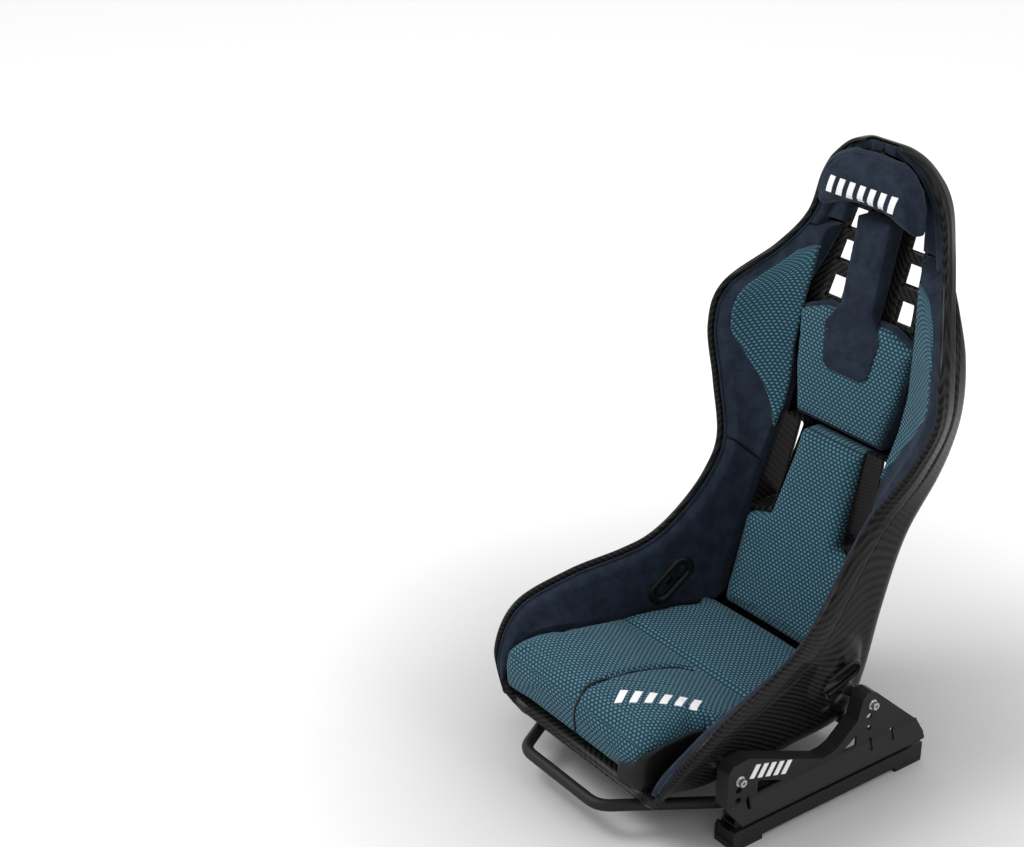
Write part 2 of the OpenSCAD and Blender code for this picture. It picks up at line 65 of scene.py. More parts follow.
SIDES = (("left", 1), ("right", -1))

# ---------------- mesh helpers, in millimetres


def placed(name, data):
    piece = bpy.data.objects.new(name, data)
    bpy.context.scene.collection.objects.link(piece)
    return piece


def make(name, points, faces, uv=None, body=CARRIAGE, slot="carbon", replaces=(), smooth=True):
    """A piece from points in millimetres, riding on a CAD body."""
    mesh = bpy.data.meshes.new(name)
    points = np.asarray(points, float)
    mesh.from_pydata((points * 0.001).tolist(), [], [list(map(int, f)) for f in faces])
    mesh.validate()
    work = bmesh.new()
    work.from_mesh(mesh)
    bmesh.ops.recalc_face_normals(work, faces=work.faces)
    work.to_mesh(mesh)
    work.free()
    mesh.polygons.foreach_set("use_smooth", [smooth] * len(mesh.polygons))
    piece = placed(name, mesh)
    if uv is not None:
        set_uv(piece, uv)
    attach(piece, body)
    if slot:
        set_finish(piece, slot)
    if replaces:
        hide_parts(*replaces)
    return piece


def set_uv(piece, uv):
    """uv: one pair in millimetres for each vertex."""
    mesh = piece.data
    layer = mesh.uv_layers.get("weave") or mesh.uv_layers.new(name="weave")
    corner = np.zeros(len(mesh.loops), int)
    mesh.loops.foreach_get("vertex_index", corner)
    layer.data.foreach_set("uv", (np.asarray(uv, float)[corner] * 0.001).ravel())


def points_of(piece):
    co = np.zeros(len(piece.data.vertices) * 3)
    piece.data.vertices.foreach_get("co", co)
    return co.reshape(-1, 3) * 1000


def normals_of(piece):
    n = np.zeros(len(piece.data.vertices) * 3)
    piece.data.vertex_normals.foreach_get("vector", n)
    return n.reshape(-1, 3)


def move_to(piece, points):
    piece.data.vertices.foreach_set("co", (points * 0.001).ravel())
    piece.data.update()


def unit(a):
    return a / np.maximum(np.linalg.norm(a, axis=-1, keepdims=True), 1e-9)


def ease(a, b, x):
    """Smooth step from 0 at a to 1 at b."""
    f = np.clip((np.asarray(x, float) - a) / (b - a), 0, 1)
    return f * f * (3 - 2 * f)


def grid_faces(rows, cols, start=0, flip=False, wrap=False):
    """Quads of a grid of points; wrap joins the last column to the first."""
    i, j = np.meshgrid(np.arange(rows - 1), np.arange(cols if wrap else cols - 1), indexing="ij")
    k = (j + 1) % cols
    quads = np.stack([i * cols + j, i * cols + k, (i + 1) * cols + k, (i + 1) * cols + j], -1)
    quads = quads.reshape(-1, 4) + start
    return quads[:, ::-1] if flip else quads


def sandwich(front, back):
    """Closed solid between two grids of points."""
    rows, cols = front.shape[:2]
    count = rows * cols
    last = (rows - 1) * cols
    edge = list(range(cols)) + [i * cols + cols - 1 for i in range(1, rows)]
    edge += [last + j for j in range(cols - 2, -1, -1)] + [i * cols for i in range(rows - 2, 0, -1)]
    ring = [[b, a, a + count, b + count] for a, b in zip(edge, edge[1:] + edge[:1])]
    faces = [*grid_faces(rows, cols), *grid_faces(rows, cols, count, flip=True), *ring]
    return np.concatenate([front.reshape(-1, 3), back.reshape(-1, 3)]), faces


def sided(points, faces, s):
    """A left piece as it is, or mirrored for the right."""
    return (points, faces) if s > 0 else (points * np.array([-1, 1, 1]), [list(f)[::-1] for f in faces])


def capped(rings, flip=False):
    """Points and faces of a stack of rings with closed ends."""
    count, n = len(rings), len(rings[0])
    faces = [*grid_faces(count, n, wrap=True), range(n)[::-1], range((count - 1) * n, count * n)]
    return np.concatenate(rings), [list(f)[::-1] if flip else list(f) for f in faces]


def looped(rings):
    """Points and faces of a stack of rings whose last ring meets the first."""
    count, n = len(rings), len(rings[0])
    last = (count - 1) * n
    faces = list(grid_faces(count, n, wrap=True))
    faces += [[last + k, last + (k + 1) % n, (k + 1) % n, k] for k in range(n)]
    return np.concatenate(rings), faces


def tube(path, radius, sides=16):
    """Points and faces of a round tube along a path."""
    path = np.asarray(path, float)
    ahead = np.roll(path, -1, 0) - np.roll(path, 1, 0)
    ahead[0], ahead[-1] = path[1] - path[0], path[-1] - path[-2]
    ahead = unit(ahead)
    side = np.zeros_like(path)
    side[0] = unit(np.cross(ahead[0], [0.3, 0.2, 1.0]))
    for i in range(1, len(path)):
        side[i] = unit(side[i - 1] - ahead[i] * (side[i - 1] @ ahead[i]))
    up = np.cross(ahead, side)
    angle = np.arange(sides) * 2 * math.pi / sides
    ring = side[:, None] * np.cos(angle)[:, None] + up[:, None] * np.sin(angle)[:, None]
    return capped(path[:, None] + ring * radius, flip=True)


def joined(parts):
    """Several (points, faces) as one."""
    points, faces, start = [], [], 0
    for p, f in parts:
        points.append(np.asarray(p, float).reshape(-1, 3))
        faces += [[int(k) + start for k in face] for face in f]
        start += len(points[-1])
    return np.concatenate(points), faces


def span(a, b, c, d, f):
    """Point of a Catmull-Rom curve, f of the way from b to c."""
    return 0.5 * (2 * b + (c - a) * f + (2 * a - 5 * b + 4 * c - d) * f * f
                  + (3 * b - a - 3 * c + d) * f ** 3)


def spline(points, step=4.0):
    """Catmull-Rom curve through points, about one point each step."""
    p = np.asarray(points, float)
    p = np.concatenate([2 * p[:1] - p[1:2], p, 2 * p[-1:] - p[-2:-1]])
    out = []
    for i in range(1, len(p) - 2):
        n = max(int(np.linalg.norm(p[i + 1] - p[i]) / step), 1)
        out += [span(*p[i - 1:i + 3], f) for f in np.arange(n) / n]
    return np.array(out + [p[-2]])


def rounded_path(corners, radius):
    """Polyline with its corners rounded."""
    c = np.asarray(corners, float)
    out = [c[0]]
    for i in range(1, len(c) - 1):
        a, b = unit(c[i - 1] - c[i]), unit(c[i + 1] - c[i])
        reach = radius * math.tan((math.pi - math.acos(np.clip(a @ b, -1, 1))) / 2)
        s, e = c[i] + a * reach, c[i] + b * reach
        for f in np.linspace(0, 1, 12):
            out.append((1 - f) ** 2 * s + 2 * f * (1 - f) * c[i] + f * f * e)
    return np.array(out + [c[-1]])


def nearest(points, line):
    """Distance from each point to a polyline, and the length along it at the nearest place."""
    line = np.asarray(line, float)
    best, along, run = np.full(len(points), 1e9), np.zeros(len(points)), 0.0
    for a, b in zip(line[:-1], line[1:]):
        d = b - a
        length = np.linalg.norm(d)
        f = np.clip((points - a) @ d / max(length ** 2, 1e-9), 0, 1)
        far = np.linalg.norm(points - a - f[:, None] * d, axis=1)
        closer = far < best
        best, along = np.where(closer, far, best), np.where(closer, run + f * length, along)
        run += length
    return best, along


# ---------------- the shell's surface

# Sections from the front lip up to the crown: y, z of the flat middle, y, z of the rim, and the half
# widths at the rim and across the flat
SECTIONS = np.array([
    [-325, 88, -327, 100, 200, 170], [-300, 100, -322, 165, 230, 188], [-243, 94, -265, 228, 248, 206],
    [-150, 82, -160, 261, 236, 203], [-20, 75, -62, 279, 215, 194], [110, 80, -5, 300, 199, 188],
    [158, 135, 50, 345, 186, 178], [200, 250, 100, 405, 178, 168], [240, 370, 135, 465, 186, 168],
    [268, 500, 158, 550, 229, 199], [272, 620, 170, 640, 262, 226], [281, 718, 186, 716, 248, 216],
    [302, 800, 248, 790, 188, 165], [321, 865, 284, 855, 150, 130], [333, 940, 292, 932, 128, 105],
    [326, 990, 292, 983, 94, 66], [306, 1011, 291, 1003, 64, 43], [288, 1018, 285, 1012, 35, 26]], float)
SPANS = len(SECTIONS) - 1
FLAT_END, WALL_START, FILLET_IN, FILLET_UP = 0.6, 0.8, 0.2, 0.26
WALL_V = 0.2


def face(t, v):
    """Point of the shell's inner face; v runs from -1 at the right rim to 1 at the left rim."""
    t, v = np.broadcast_arrays(np.asarray(t, float), np.asarray(v, float))
    u = np.clip(t, 0, SPANS - 1e-4)
    i = np.floor(u).astype(int)
    f = (u - i)[..., None]
    s = span(SECTIONS[np.maximum(i - 1, 0)], SECTIONS[i], SECTIONS[i + 1],
             SECTIONS[np.minimum(i + 2, SPANS)], f)
    rim, flat, w = s[..., 4], s[..., 5], np.abs(v)
    p0, r0, r1 = flat * (1 - FILLET_IN), flat + (rim - flat) * FILLET_UP, FILLET_UP
    g = np.clip((w - FLAT_END) / (WALL_START - FLAT_END), 0, 1)
    h = (w - WALL_START) / (1 - WALL_START)
    x = np.where(w < FLAT_END, p0 * w / FLAT_END,
                 np.where(w < WALL_START, (1 - g) ** 2 * p0 + 2 * g * (1 - g) * flat + g * g * r0,
                          r0 + (rim - r0) * h))
    up = np.where(w < FLAT_END, 0, np.where(w < WALL_START, g * g * r1, r1 + (1 - r1) * h))
    return np.stack([np.sign(v) * x, s[..., 0] + (s[..., 2] - s[..., 0]) * up,
                     s[..., 1] + (s[..., 3] - s[..., 1]) * up], -1)


def outward(t, v):
    """Unit normal of the inner face, away from the driver."""
    a, b = np.clip(t, 0.02, SPANS - 0.02), np.clip(v, -0.996, 0.996)
    return unit(np.cross(face(a + 0.02, b) - face(a - 0.02, b), face(a, b + 0.004) - face(a, b - 0.004)))


def off(t, v, by):
    by = np.asarray(by, float)
    return face(t, v) + by[..., None] * outward(t, v)


def rim_distance(t, v):
    """Millimetres from the rim, along the wall."""
    wall = np.linalg.norm(face(t, np.ones_like(v)) - face(t, np.full_like(v, WALL_START)), axis=-1)
    return (1 - np.abs(v)) / (1 - WALL_START) * wall


def at_xz(x, z):
    """(t, v) of the points at x across and z up on the shell's flat middle."""
    x, z = np.asarray(x, float), np.asarray(z, float)
    grid = np.linspace(5.5, 15, 400)
    t = np.interp(z, face(grid, np.zeros(400))[:, 2], grid)
    edge = face(t, np.full(t.shape, FLAT_END))[:, 0]
    return np.column_stack([t, x / edge * FLAT_END])


def round_corners(polygon, radius):
    """Closed polygon with its corners rounded."""
    p = np.asarray(polygon, float)
    out = []
    for i, c in enumerate(p):
        a, b = p[i - 1] - c, p[(i + 1) % len(p)] - c
        s = c + a / np.linalg.norm(a) * min(radius, np.linalg.norm(a) / 2)
        e = c + b / np.linalg.norm(b) * min(radius, np.linalg.norm(b) / 2)
        out += [(1 - f) ** 2 * s + 2 * f * (1 - f) * c + f * f * e for f in np.linspace(0, 1, 5)]
    return np.array(out)


def rounding(gaps):
    """Height from 0 at the edges to 1 inside, by quarter circles; gaps are (distance, radius) pairs."""
    steps = [1 - np.clip(gap / r, 0, 1) for gap, r in gaps]
    return np.min([np.sqrt(np.clip(1 - f ** 2, 0, 1)) for f in steps], axis=0)


def lengths(points, axis):
    """Length run so far along one axis of a grid of points."""
    d = np.linalg.norm(np.diff(points, axis=axis), axis=-1)
    pad = [(0, 0), (0, 0)]
    pad[axis] = (1, 0)
    return np.pad(np.cumsum(d, axis=axis), pad)


# Lap belt slot: its middle on the pad and outside, with the axes along, across and inward at each
BELT_IN, BELT_OUT = np.array([172.0, 18.5, 216.0]), np.array([209.0, 62.0, 191.0])
BELT_SLOPE = math.radians(32)
ALONG = unit(np.array([-0.187, 0.69, 0.7]))
INWARD = unit(np.array([-0.962, -0.06, 0.267]) - ALONG * (np.array([-0.962, -0.06, 0.267]) @ ALONG))
BELT_AXES = np.array([ALONG, np.cross(INWARD, ALONG), INWARD])
POD_IN = unit(np.array([-0.985, 0.1, 0.14]))
POD_ALONG = unit(np.cross(np.array([0.1, -0.5, 0.86]), POD_IN))
POD_AXES = np.array([POD_ALONG, np.cross(POD_IN, POD_ALONG), POD_IN])


def oblong_ring(centre, reach, radius, lift=0.0, axes=BELT_AXES, n=17):
    """Oblong loop across the lap belt slot."""
    angles = np.radians(np.concatenate([np.linspace(-90, 90, n), np.linspace(90, 270, n)]))
    x = np.where(np.arange(2 * n) < n, reach, -reach) + radius * np.cos(angles)
    y = radius * np.sin(angles)
    return centre + x[:, None] * axes[0] + y[:, None] * axes[1] + lift * axes[2]


def belt_distance(p):
    """Distance in side view from the line at the middle of the lap belt slot."""
    along = np.array([math.cos(BELT_SLOPE), math.sin(BELT_SLOPE)])
    q = p[..., 1:] - BELT_OUT[1:]
    f = np.clip(q @ along, -21, 21)
    return np.linalg.norm(q - f[..., None] * along, axis=-1)


# ---------------- shell piece

SHELL_T, RIM_T, CROWN_T = 4.0, 12.0, 4.5


def outer_thickness(t, v):
    """Millimetres from the inner to the outer face, with all that stands out on the outside."""
    d, w = np.minimum(rim_distance(t, v), (SPANS - t) * 28), np.abs(v)
    bead = (RIM_T - SHELL_T) * ease(44, 33, d) * (1 - 0.35 * ease(14, 0, d))
    groove = 1.6 * np.exp(-((d - 47) / 2.2) ** 2)
    bar_room = np.exp(-((w - 0.55) / 0.1) ** 2)
    front_lip = 7 * ease(0.45, 0, t) * (1 - bar_room)
    recess = ease(0.58, 0.52, w) * ease(14.55, 14.3, t + 0.5 * np.clip(w / 0.55, 0, 1) ** 4)
    round_recess = 5 * ease(8.2, 9.4, t) * (1 - recess) * ease(44, 60, d)
    crease = 1.8 * np.exp(-((w - 0.7) / 0.006) ** 2) * ease(8.0, 8.6, t) * ease(15.4, 14.8, t)
    pod = 9 * ease(62, 27, belt_distance(face(t, v))) * ease(0.78, 0.83, w) * ease(7.2, 6.2, t)
    step = 4 * ease(5.15, 5.3, t) * ease(6.9, 6.4, t) * ease(0.62, 0.5, w)
    thick = SHELL_T + bead - groove + front_lip + round_recess - crease + pod + step
    return thick + (CROWN_T - thick) * ease(14.6, 16.6, t)


def shell_mesh():
    """Points, faces and weave coordinates of the shell, with a half-round rim and closed ends."""
    ts = np.concatenate([np.linspace(0, 0.4, 9)[:-1], np.linspace(0.4, SPANS, 300)])
    half = np.concatenate([np.linspace(0, 0.6, 34)[:-1], np.linspace(0.6, 0.8, 22)[:-1],
                           np.linspace(0.8, 1, 44)])
    vs = np.concatenate([-half[:0:-1], half])
    t, v = np.meshgrid(ts, vs, indexing="ij")
    inner = off(t, v, -2.0 * ease(6, 0, rim_distance(t, v)))
    outer = off(t, v, outer_thickness(t, v))
    arcs = {}
    for s in (1, -1):
        e = -1 if s > 0 else 0
        a, b = inner[:, e], outer[:, e]
        grow = unit(face(ts, np.full_like(ts, s)) - face(ts, np.full_like(ts, 0.95 * s)))
        half_t = np.linalg.norm(b - a, axis=-1, keepdims=True) / 2
        angle = np.linspace(0, math.pi, 9)[1:-1]
        arcs[s] = [(a + b) / 2 + (a - b) / 2 * math.cos(q) + grow * half_t * math.sin(q) for q in angle]
    plus = np.stack(arcs[1], 1)
    minus = np.stack(arcs[-1], 1)[:, ::-1]
    loop = np.concatenate([inner, plus, outer[:, ::-1], minus], 1)
    rows, cols = loop.shape[:2]
    faces = list(grid_faces(rows, cols, wrap=True))
    n, k = len(vs), plus.shape[1]
    pairs = [(n + k + n + k // 2 - m, n + k + n + k // 2 + m) for m in range(1, k // 2 + 1)]
    pairs += [(n + k + n - 1 - j, j) for j in range(n)]
    pairs += [(n + k - 1 - m, n + m) for m in range(k // 2)]
    mid_minus, mid_plus = n + k + n + k // 2, n + k // 2
    for row, turn in ((0, 1), (rows - 1, -1)):
        base = row * cols
        caps = [[mid_minus, pairs[0][0], pairs[0][1]]]
        caps += [[a[0], b[0], b[1], a[1]] for a, b in zip(pairs[:-1], pairs[1:])]
        caps += [[pairs[-1][0], mid_plus, pairs[-1][1]]]
        faces += [[base + q for q in c][::-turn] for c in caps]
    across = lengths(outer, 1)
    across = across - across[:, [n // 2]]
    along = lengths(outer, 0)
    rim_u = [across[:, [-1]] + 2 * (m + 1) for m in range(k)]
    rim_w = [across[:, [0]] - 2 * (m + 1) for m in range(k)]
    h = k // 2
    u = np.concatenate([across, *rim_u[:h + 1], *rim_u[:h][::-1], across[:, ::-1],
                        *rim_w[:h + 1], *rim_w[:h][::-1]], 1)
    w = np.concatenate([along] + [along[:, [-1]]] * k + [along[:, ::-1]] + [along[:, [0]]] * k, 1)
    return loop.reshape(-1, 3), faces, np.stack([u, w], -1).reshape(-1, 2)


def cutter(name, points, faces):
    """A closed mesh that only cuts others."""
    piece = make(name, points, faces)
    piece.hide_render = True
    return piece


def cut(piece, tools):
    """Subtracts closed meshes from a piece and removes them."""
    for tool in tools:
        mod = piece.modifiers.new("cut", "BOOLEAN")
        mod.object, mod.operation, mod.solver = tool, "DIFFERENCE", "MANIFOLD"
    apply(piece)
    for tool in tools:
        bpy.data.objects.remove(tool)


def apply(piece):
    """Bakes the piece's modifiers into its mesh."""
    bpy.context.view_layer.update()
    shape = piece.evaluated_get(bpy.context.evaluated_depsgraph_get())
    mesh = bpy.data.meshes.new_from_object(shape)
    piece.modifiers.clear()
    old, piece.data = piece.data, mesh
    bpy.data.meshes.remove(old)


def window_solid(loop, near, far, s=1):
    """Prism through the shell over a closed outline in (t, v)."""
    loop = np.asarray(loop, float)
    t, v = loop[:, 0], loop[:, 1] * s
    return capped([off(t, v, np.full(len(t), d)) for d in np.linspace(near, far, 4)], flip=s < 0)


def oblong_solid(reach, radius):
    """Tunnel along the lap belt, from the pad out through the side."""
    way = BELT_OUT - BELT_IN
    return capped([oblong_ring(BELT_IN + way * f, reach, radius, axes=axes) for f, axes in
                   ((-0.7, BELT_AXES), (0, BELT_AXES), (1, POD_AXES), (1.6, POD_AXES))])


# Outlines of the windows in the shell: x, z on the left side
LOUVER_XZ = round_corners([(56, 726), (102, 726), (84, 886), (48, 886)], 8)
SLOT_XZ = round_corners([(88, 352), (132, 340), (122, 505), (76, 505)], 9)
LOUVER_HOLE = at_xz(LOUVER_XZ[:, 0], LOUVER_XZ[:, 1])
LUMBAR_HOLE = at_xz(SLOT_XZ[:, 0], SLOT_XZ[:, 1])


def soften(piece, weight, rounds):
    """Evens out the surface where weight is above 0."""
    p = points_of(piece)
    ends = np.zeros(len(piece.data.edges) * 2, int)
    piece.data.edges.foreach_get("vertices", ends)
    a, b = ends[0::2], ends[1::2]
    near = (weight[a] > 0) | (weight[b] > 0)
    a, b = np.concatenate([a[near], b[near]]), np.concatenate([b[near], a[near]])
    count = np.maximum(np.bincount(a, minlength=len(p)), 1)
    for _ in range(rounds):
        mean = np.stack([np.bincount(a, p[b, k], len(p)) for k in range(3)], 1) / count[:, None]
        p = p + (mean - p) * (0.6 * weight)[:, None]
    move_to(piece, p)


points, faces, uv = shell_mesh()
shell = make("shell_carbon", points, faces, uv, replaces=["shell"])
soften(shell, ease(962, 1004, points_of(shell)[:, 2]), 90)
belt_tool = oblong_solid(25, 18)
tools = []
for side, s in SIDES:
    tools.append(cutter("tool_a_" + side, *window_solid(LOUVER_HOLE, -20, 24, s)))
    tools.append(cutter("tool_b_" + side, *window_solid(LUMBAR_HOLE, -20, 24, s)))
    tools.append(cutter("tool_c_" + side, *sided(*belt_tool, s)))
cut(shell, tools)

# ---------------- soft pieces on the shell's inner face


def pad(name, front, back, across, along, s, slot="navy_suede", fill=0.6):
    """Padded piece between two grids of points, with its weave coordinates."""
    uv = np.tile(np.stack([across, along], -1).reshape(-1, 2), (2, 1))
    piece = make(name, *sided(*sandwich(front, back), s), uv, slot=slot, replaces=[name])
    return piece


def cosine_steps(count):
    """Steps from 0 to 1, closer together at both ends."""
    return 0.5 - 0.5 * np.cos(np.linspace(0, math.pi, count))


def through(pairs):
    """Smooth function of t through (t, v) pairs."""
    xs, ys = zip(*pairs)
    return lambda t: np.interp(t, xs, ys)


PAD_GAP, RIM_MARGIN = 2.0, 8


def to_rim(t):
    """v of the line where the pads stop, just inside the rolled rim."""
    wall = np.linalg.norm(face(t, np.ones_like(t)) - face(t, np.full_like(t, WALL_START)), axis=-1)
    return 1 - WALL_V * RIM_MARGIN / wall


# v of the pads' inner edges on the shell
PAD_LOW = through([(0.5, 0.93), (1, 0.9), (1.5, 0.88), (2, 0.86), (2.4, 0.82), (5, 0.8), (5.6, 0.72),
                   (6, 0.66), (8, 0.62), (9, 0.56), (9.4, 0.5), (11.5, 0.49), (12.7, 0.52)])
NECK_LOW = through([(12.7, 0.48), (13.4, 0.5), (15.4, 0.5), (16.2, 0.02), (16.8, 0.01)])

# Inner edge lines of the side pads: t, then x, y, z
BOLSTER_INNER = [(0.5, 214, -326, 112), (1, 212, -318, 140), (1.5, 212, -300, 168), (2, 208, -270, 190),
                 (2.3, 198, -235, 196), (2.5, 189, -206, 194), (3, 189, -156, 180), (4, 187, -40, 166),
                 (4.5, 176, 10, 165), (5, 154, 58, 166), (5.45, 134, 92, 172), (6, 133, 110, 222),
                 (7, 136, 147, 322), (7.5, 134, 162, 365), (8, 132, 182, 422)]
SHOULDER_INNER = [(8, 132, 182, 422), (8.5, 128, 200, 470), (9, 126, 226, 520), (9.4, 129, 240, 560),
                  (10, 134, 250, 624), (11, 126, 262, 716), (11.5, 120, 268, 758), (12.2, 114, 273, 803),
                  (12.7, 102, 284, 846)]


def ruled_surface(inner, t, b):
    """Pad surface from an inner edge line, b = 0, to the rolled rim, b = 1."""
    table = np.asarray(inner, float)
    dense = np.linspace(table[0, 0], table[-1, 0], 400)
    window = np.hanning(25) / np.hanning(25).sum()
    line = []
    for k in (1, 2, 3):
        flat_line = np.interp(dense, table[:, 0], table[:, k])
        padded_line = np.concatenate([2 * flat_line[0] - flat_line[12:0:-1], flat_line,
                                      2 * flat_line[-1] - flat_line[-2:-14:-1]])
        line.append(np.interp(t, dense, np.convolve(padded_line, window, "valid")))
    edge = np.stack(line, -1)
    top = off(t, to_rim(t[..., 0])[..., None] * np.ones_like(t), np.full(t.shape, -17.0))
    hold = off(t, np.full(t.shape, 0.86), np.full(t.shape, -24.0))
    hold = 0.5 * hold + 0.25 * (edge + top)
    q = b[..., None]
    return (1 - q) ** 2 * edge + 2 * q * (1 - q) * hold + q * q * top


def ruled_pad(name, inner, s, count):
    """Pad between the shell and a ruled surface, with a full rounded edge along the rim."""
    ts = np.linspace(inner[0][0], inner[-1][0], count)
    t, q = np.meshgrid(ts, cosine_steps(44), indexing="ij")
    low, high = PAD_LOW(ts)[:, None], to_rim(ts)[:, None]
    back = off(t, low + (high - low) * q, np.full(t.shape, -PAD_GAP))
    front = ruled_surface(inner, t, q)
    across, along = lengths(front, 1), lengths(front, 0)
    full = rounding([(across, 5.0), (across[:, [-1]] - across, 17.0),
                     (along, 3.5), (along[[-1]] - along, 3.5)])
    thick = np.linalg.norm(front - back, axis=-1)
    ripple = 0.5 * np.sin(along / 23 + across / 19) + 2.0 * np.sin(np.pi * across / across[:, [-1]])
    keep = 1 - (1 - full) * np.minimum(1, 20 / np.maximum(thick, 1))
    front = back + (front - back) * (keep + ripple * full / np.maximum(thick, 8))[..., None]
    return pad(name, front, back, across, along, s)


def neck_pad(side, s):
    """Crowned pad on the shell beside the head, up to the crown."""
    t, b = np.meshgrid(np.linspace(12.74, 16.8, 120), cosine_steps(30), indexing="ij")
    low, high = NECK_LOW(t), to_rim(t[:, 0])[:, None]
    v = low + (high - low) * b
    base = off(t, v, np.full(t.shape, -PAD_GAP))
    across, along = lengths(base, 1), lengths(base, 0)
    full = rounding([(across, 6), (across[:, [-1]] - across, 15), (along, 3), (along[[-1]] - along, 8)])
    middle = np.sin(np.pi * np.clip(across / across[:, [-1]], 0, 1))
    height = 15 + 2 * middle + 0.5 * np.sin(along / 21 + across / 17)
    front = off(t, v, -PAD_GAP - height * (0.12 + 0.88 * full))
    pad("neck_pad_" + side, front, base, across - across[:, [-1]] / 2, along, s)


def wing_insert(side, s):
    """Knit panel laid into the shoulder pad."""
    ts = np.linspace(8.62, 12.28, 90)
    reach = through([(8.6, 0.02), (9.0, 0.27), (9.45, 0.55), (9.9, 0.8), (10.05, 0.84), (10.9, 0.87),
                     (11.5, 0.86), (11.9, 0.8), (12.1, 0.72), (12.28, 0.3)])(ts)
    t, q = np.meshgrid(ts, cosine_steps(40), indexing="ij")
    q = q * reach[:, None]
    middle = ruled_surface(SHOULDER_INNER, t, q)
    lift = unit(np.cross(np.gradient(middle, axis=0), np.gradient(middle, axis=1)))
    lift = lift * np.sign(-np.sum(lift * outward(t, np.full(t.shape, 0.7)), axis=-1, keepdims=True))
    across, along = lengths(middle, 1), lengths(middle, 0)
    full = rounding([(gap, 5) for gap in
                     (across, across[:, [-1]] - across, along, along[[-1]] - along)])
    crown = 1.2 * np.sin(np.pi * across / across[:, [-1]])
    front = middle + lift * (4.6 * full + crown - 1.5)[..., None]
    pad("wing_insert_" + side, front, middle - lift * 4, across, along, s, "teal_knit", 0.5)


for side, s in SIDES:
    bolster = ruled_pad("bolster_" + side, BOLSTER_INNER, s, 260)
    cut(bolster, [cutter("tool_d_" + side, *sided(*oblong_solid(27, 19.5), s))])
    ruled_pad("shoulder_pad_" + side, SHOULDER_INNER, s, 140)
    wing_insert(side, s)
    neck_pad(side, s)

# ---------------- cloth-simulated cushions


def slab(outline, top, bottom, radius, low_radius=6.0, axis="y"):
    """Closed pillow blank over an outline; top and bottom are functions of the outline's points."""
    p = np.asarray(outline, float)
    middle = p.mean(0)

    def inset(d):
        ahead = np.roll(p, -1, 0) - np.roll(p, 1, 0)
        n = unit(np.stack([-ahead[:, 1], ahead[:, 0]], -1))
        sign = np.sign(np.sum(n * (middle - p)))
        return p + n * sign * np.reshape(d, (-1, 1))

    radius = np.broadcast_to(np.asarray(radius, float), (len(p),))
    rings = []
    for a in (80, 45, 0):
        r = math.radians(a)
        q = inset(low_radius * (1 - math.cos(r)))
        rings.append((q, bottom(q) + low_radius * (1 - math.sin(r)) * np.sign(top(q) - bottom(q))))
    for a in (0, 30, 60, 85):
        r = math.radians(a)
        q = inset(radius * (1 - math.cos(r)))
        rings.append((q, top(q) - radius * (1 - math.sin(r)) * np.sign(top(q) - bottom(q))))
    inner, low = inset(radius), inset(low_radius)
    centre = inner.mean(0)
    above = [centre + (inner - centre) * f for f in (0.8, 0.6, 0.4, 0.2, 0.02)]
    below = [centre + (low - centre) * f for f in (0.02, 0.3, 0.6, 0.85)]
    rings = [(q, bottom(q)) for q in below] + rings + [(q, top(q)) for q in above]
    order = [0, 2, 1] if axis == "y" else [0, 1, 2]
    return capped([np.column_stack([q, h])[:, order] for q, h in rings])


def outline(half, step=6.0):
    """Closed, smooth and symmetric outline from its half with x above 0."""
    half = np.asarray(half, float)
    full = np.concatenate([half, (half * [-1, 1])[::-1]])
    closed = np.concatenate([full, full[:1]])
    run = np.concatenate([[0], np.cumsum(np.linalg.norm(np.diff(closed, axis=0), axis=1))])
    at = np.arange(0, run[-1], step)
    return np.stack([np.interp(at, run, closed[:, 0]), np.interp(at, run, closed[:, 1])], -1)


def puff(name, points, faces, slot, replaces, cap, pins=None, voxel=5.0):
    """Remeshes a blank and swells it with cloth pressure; pins(points) is 1 where it is sewn down."""
    piece = make(name, points, faces, slot=slot, replaces=replaces)
    mod = piece.modifiers.new("remesh", "REMESH")
    mod.mode, mod.voxel_size, mod.use_smooth_shade = "VOXEL", voxel * 0.001, True
    apply(piece)
    start = points_of(piece)
    group = piece.vertex_groups.new(name="sewn")
    weight = np.zeros(len(start)) if pins is None else pins(start)
    for i in np.nonzero(weight > 0.02)[0]:
        group.add([int(i)], float(min(weight[i], 1)), "REPLACE")
    mod = piece.modifiers.new("swell", "CLOTH")
    mod.settings.use_pressure = True
    mod.settings.uniform_pressure_force = 4.0
    mod.settings.effector_weights.gravity = 0
    mod.settings.vertex_group_mass = "sewn"
    mod.settings.quality = 4
    mod.collision_settings.use_collision = False
    mod.point_cache.frame_start, mod.point_cache.frame_end = 1, 20
    scene = bpy.context.scene
    for f in range(1, 21):
        scene.frame_set(f)
    bpy.context.view_layer.update()
    shape = piece.evaluated_get(bpy.context.evaluated_depsgraph_get())
    end = np.zeros(len(shape.data.vertices) * 3)
    shape.data.vertices.foreach_get("co", end)
    moved = end.reshape(-1, 3) * 1000 - start
    size = np.linalg.norm(moved, axis=1, keepdims=True)
    moved = moved * np.minimum(1, cap / np.maximum(size, 1e-6))
    piece.modifiers.clear()
    piece.vertex_groups.clear()
    scene.frame_set(1)
    move_to(piece, start + moved)
    mod = piece.modifiers.new("fine", "SUBSURF")
    mod.levels = mod.render_levels = 1
    apply(piece)
    piece.data.polygons.foreach_set("use_smooth", [True] * len(piece.data.polygons))
    return piece


def sew(piece, seams):
    """Presses seams into a piece: each is (polyline, width, depth)."""
    p, n = points_of(piece), normals_of(piece)
    for line, wide, depth in seams:
        far, _ = nearest(p, line)
        p = p - n * (depth * np.exp(-(far / wide) ** 2))[:, None]
    move_to(piece, p)


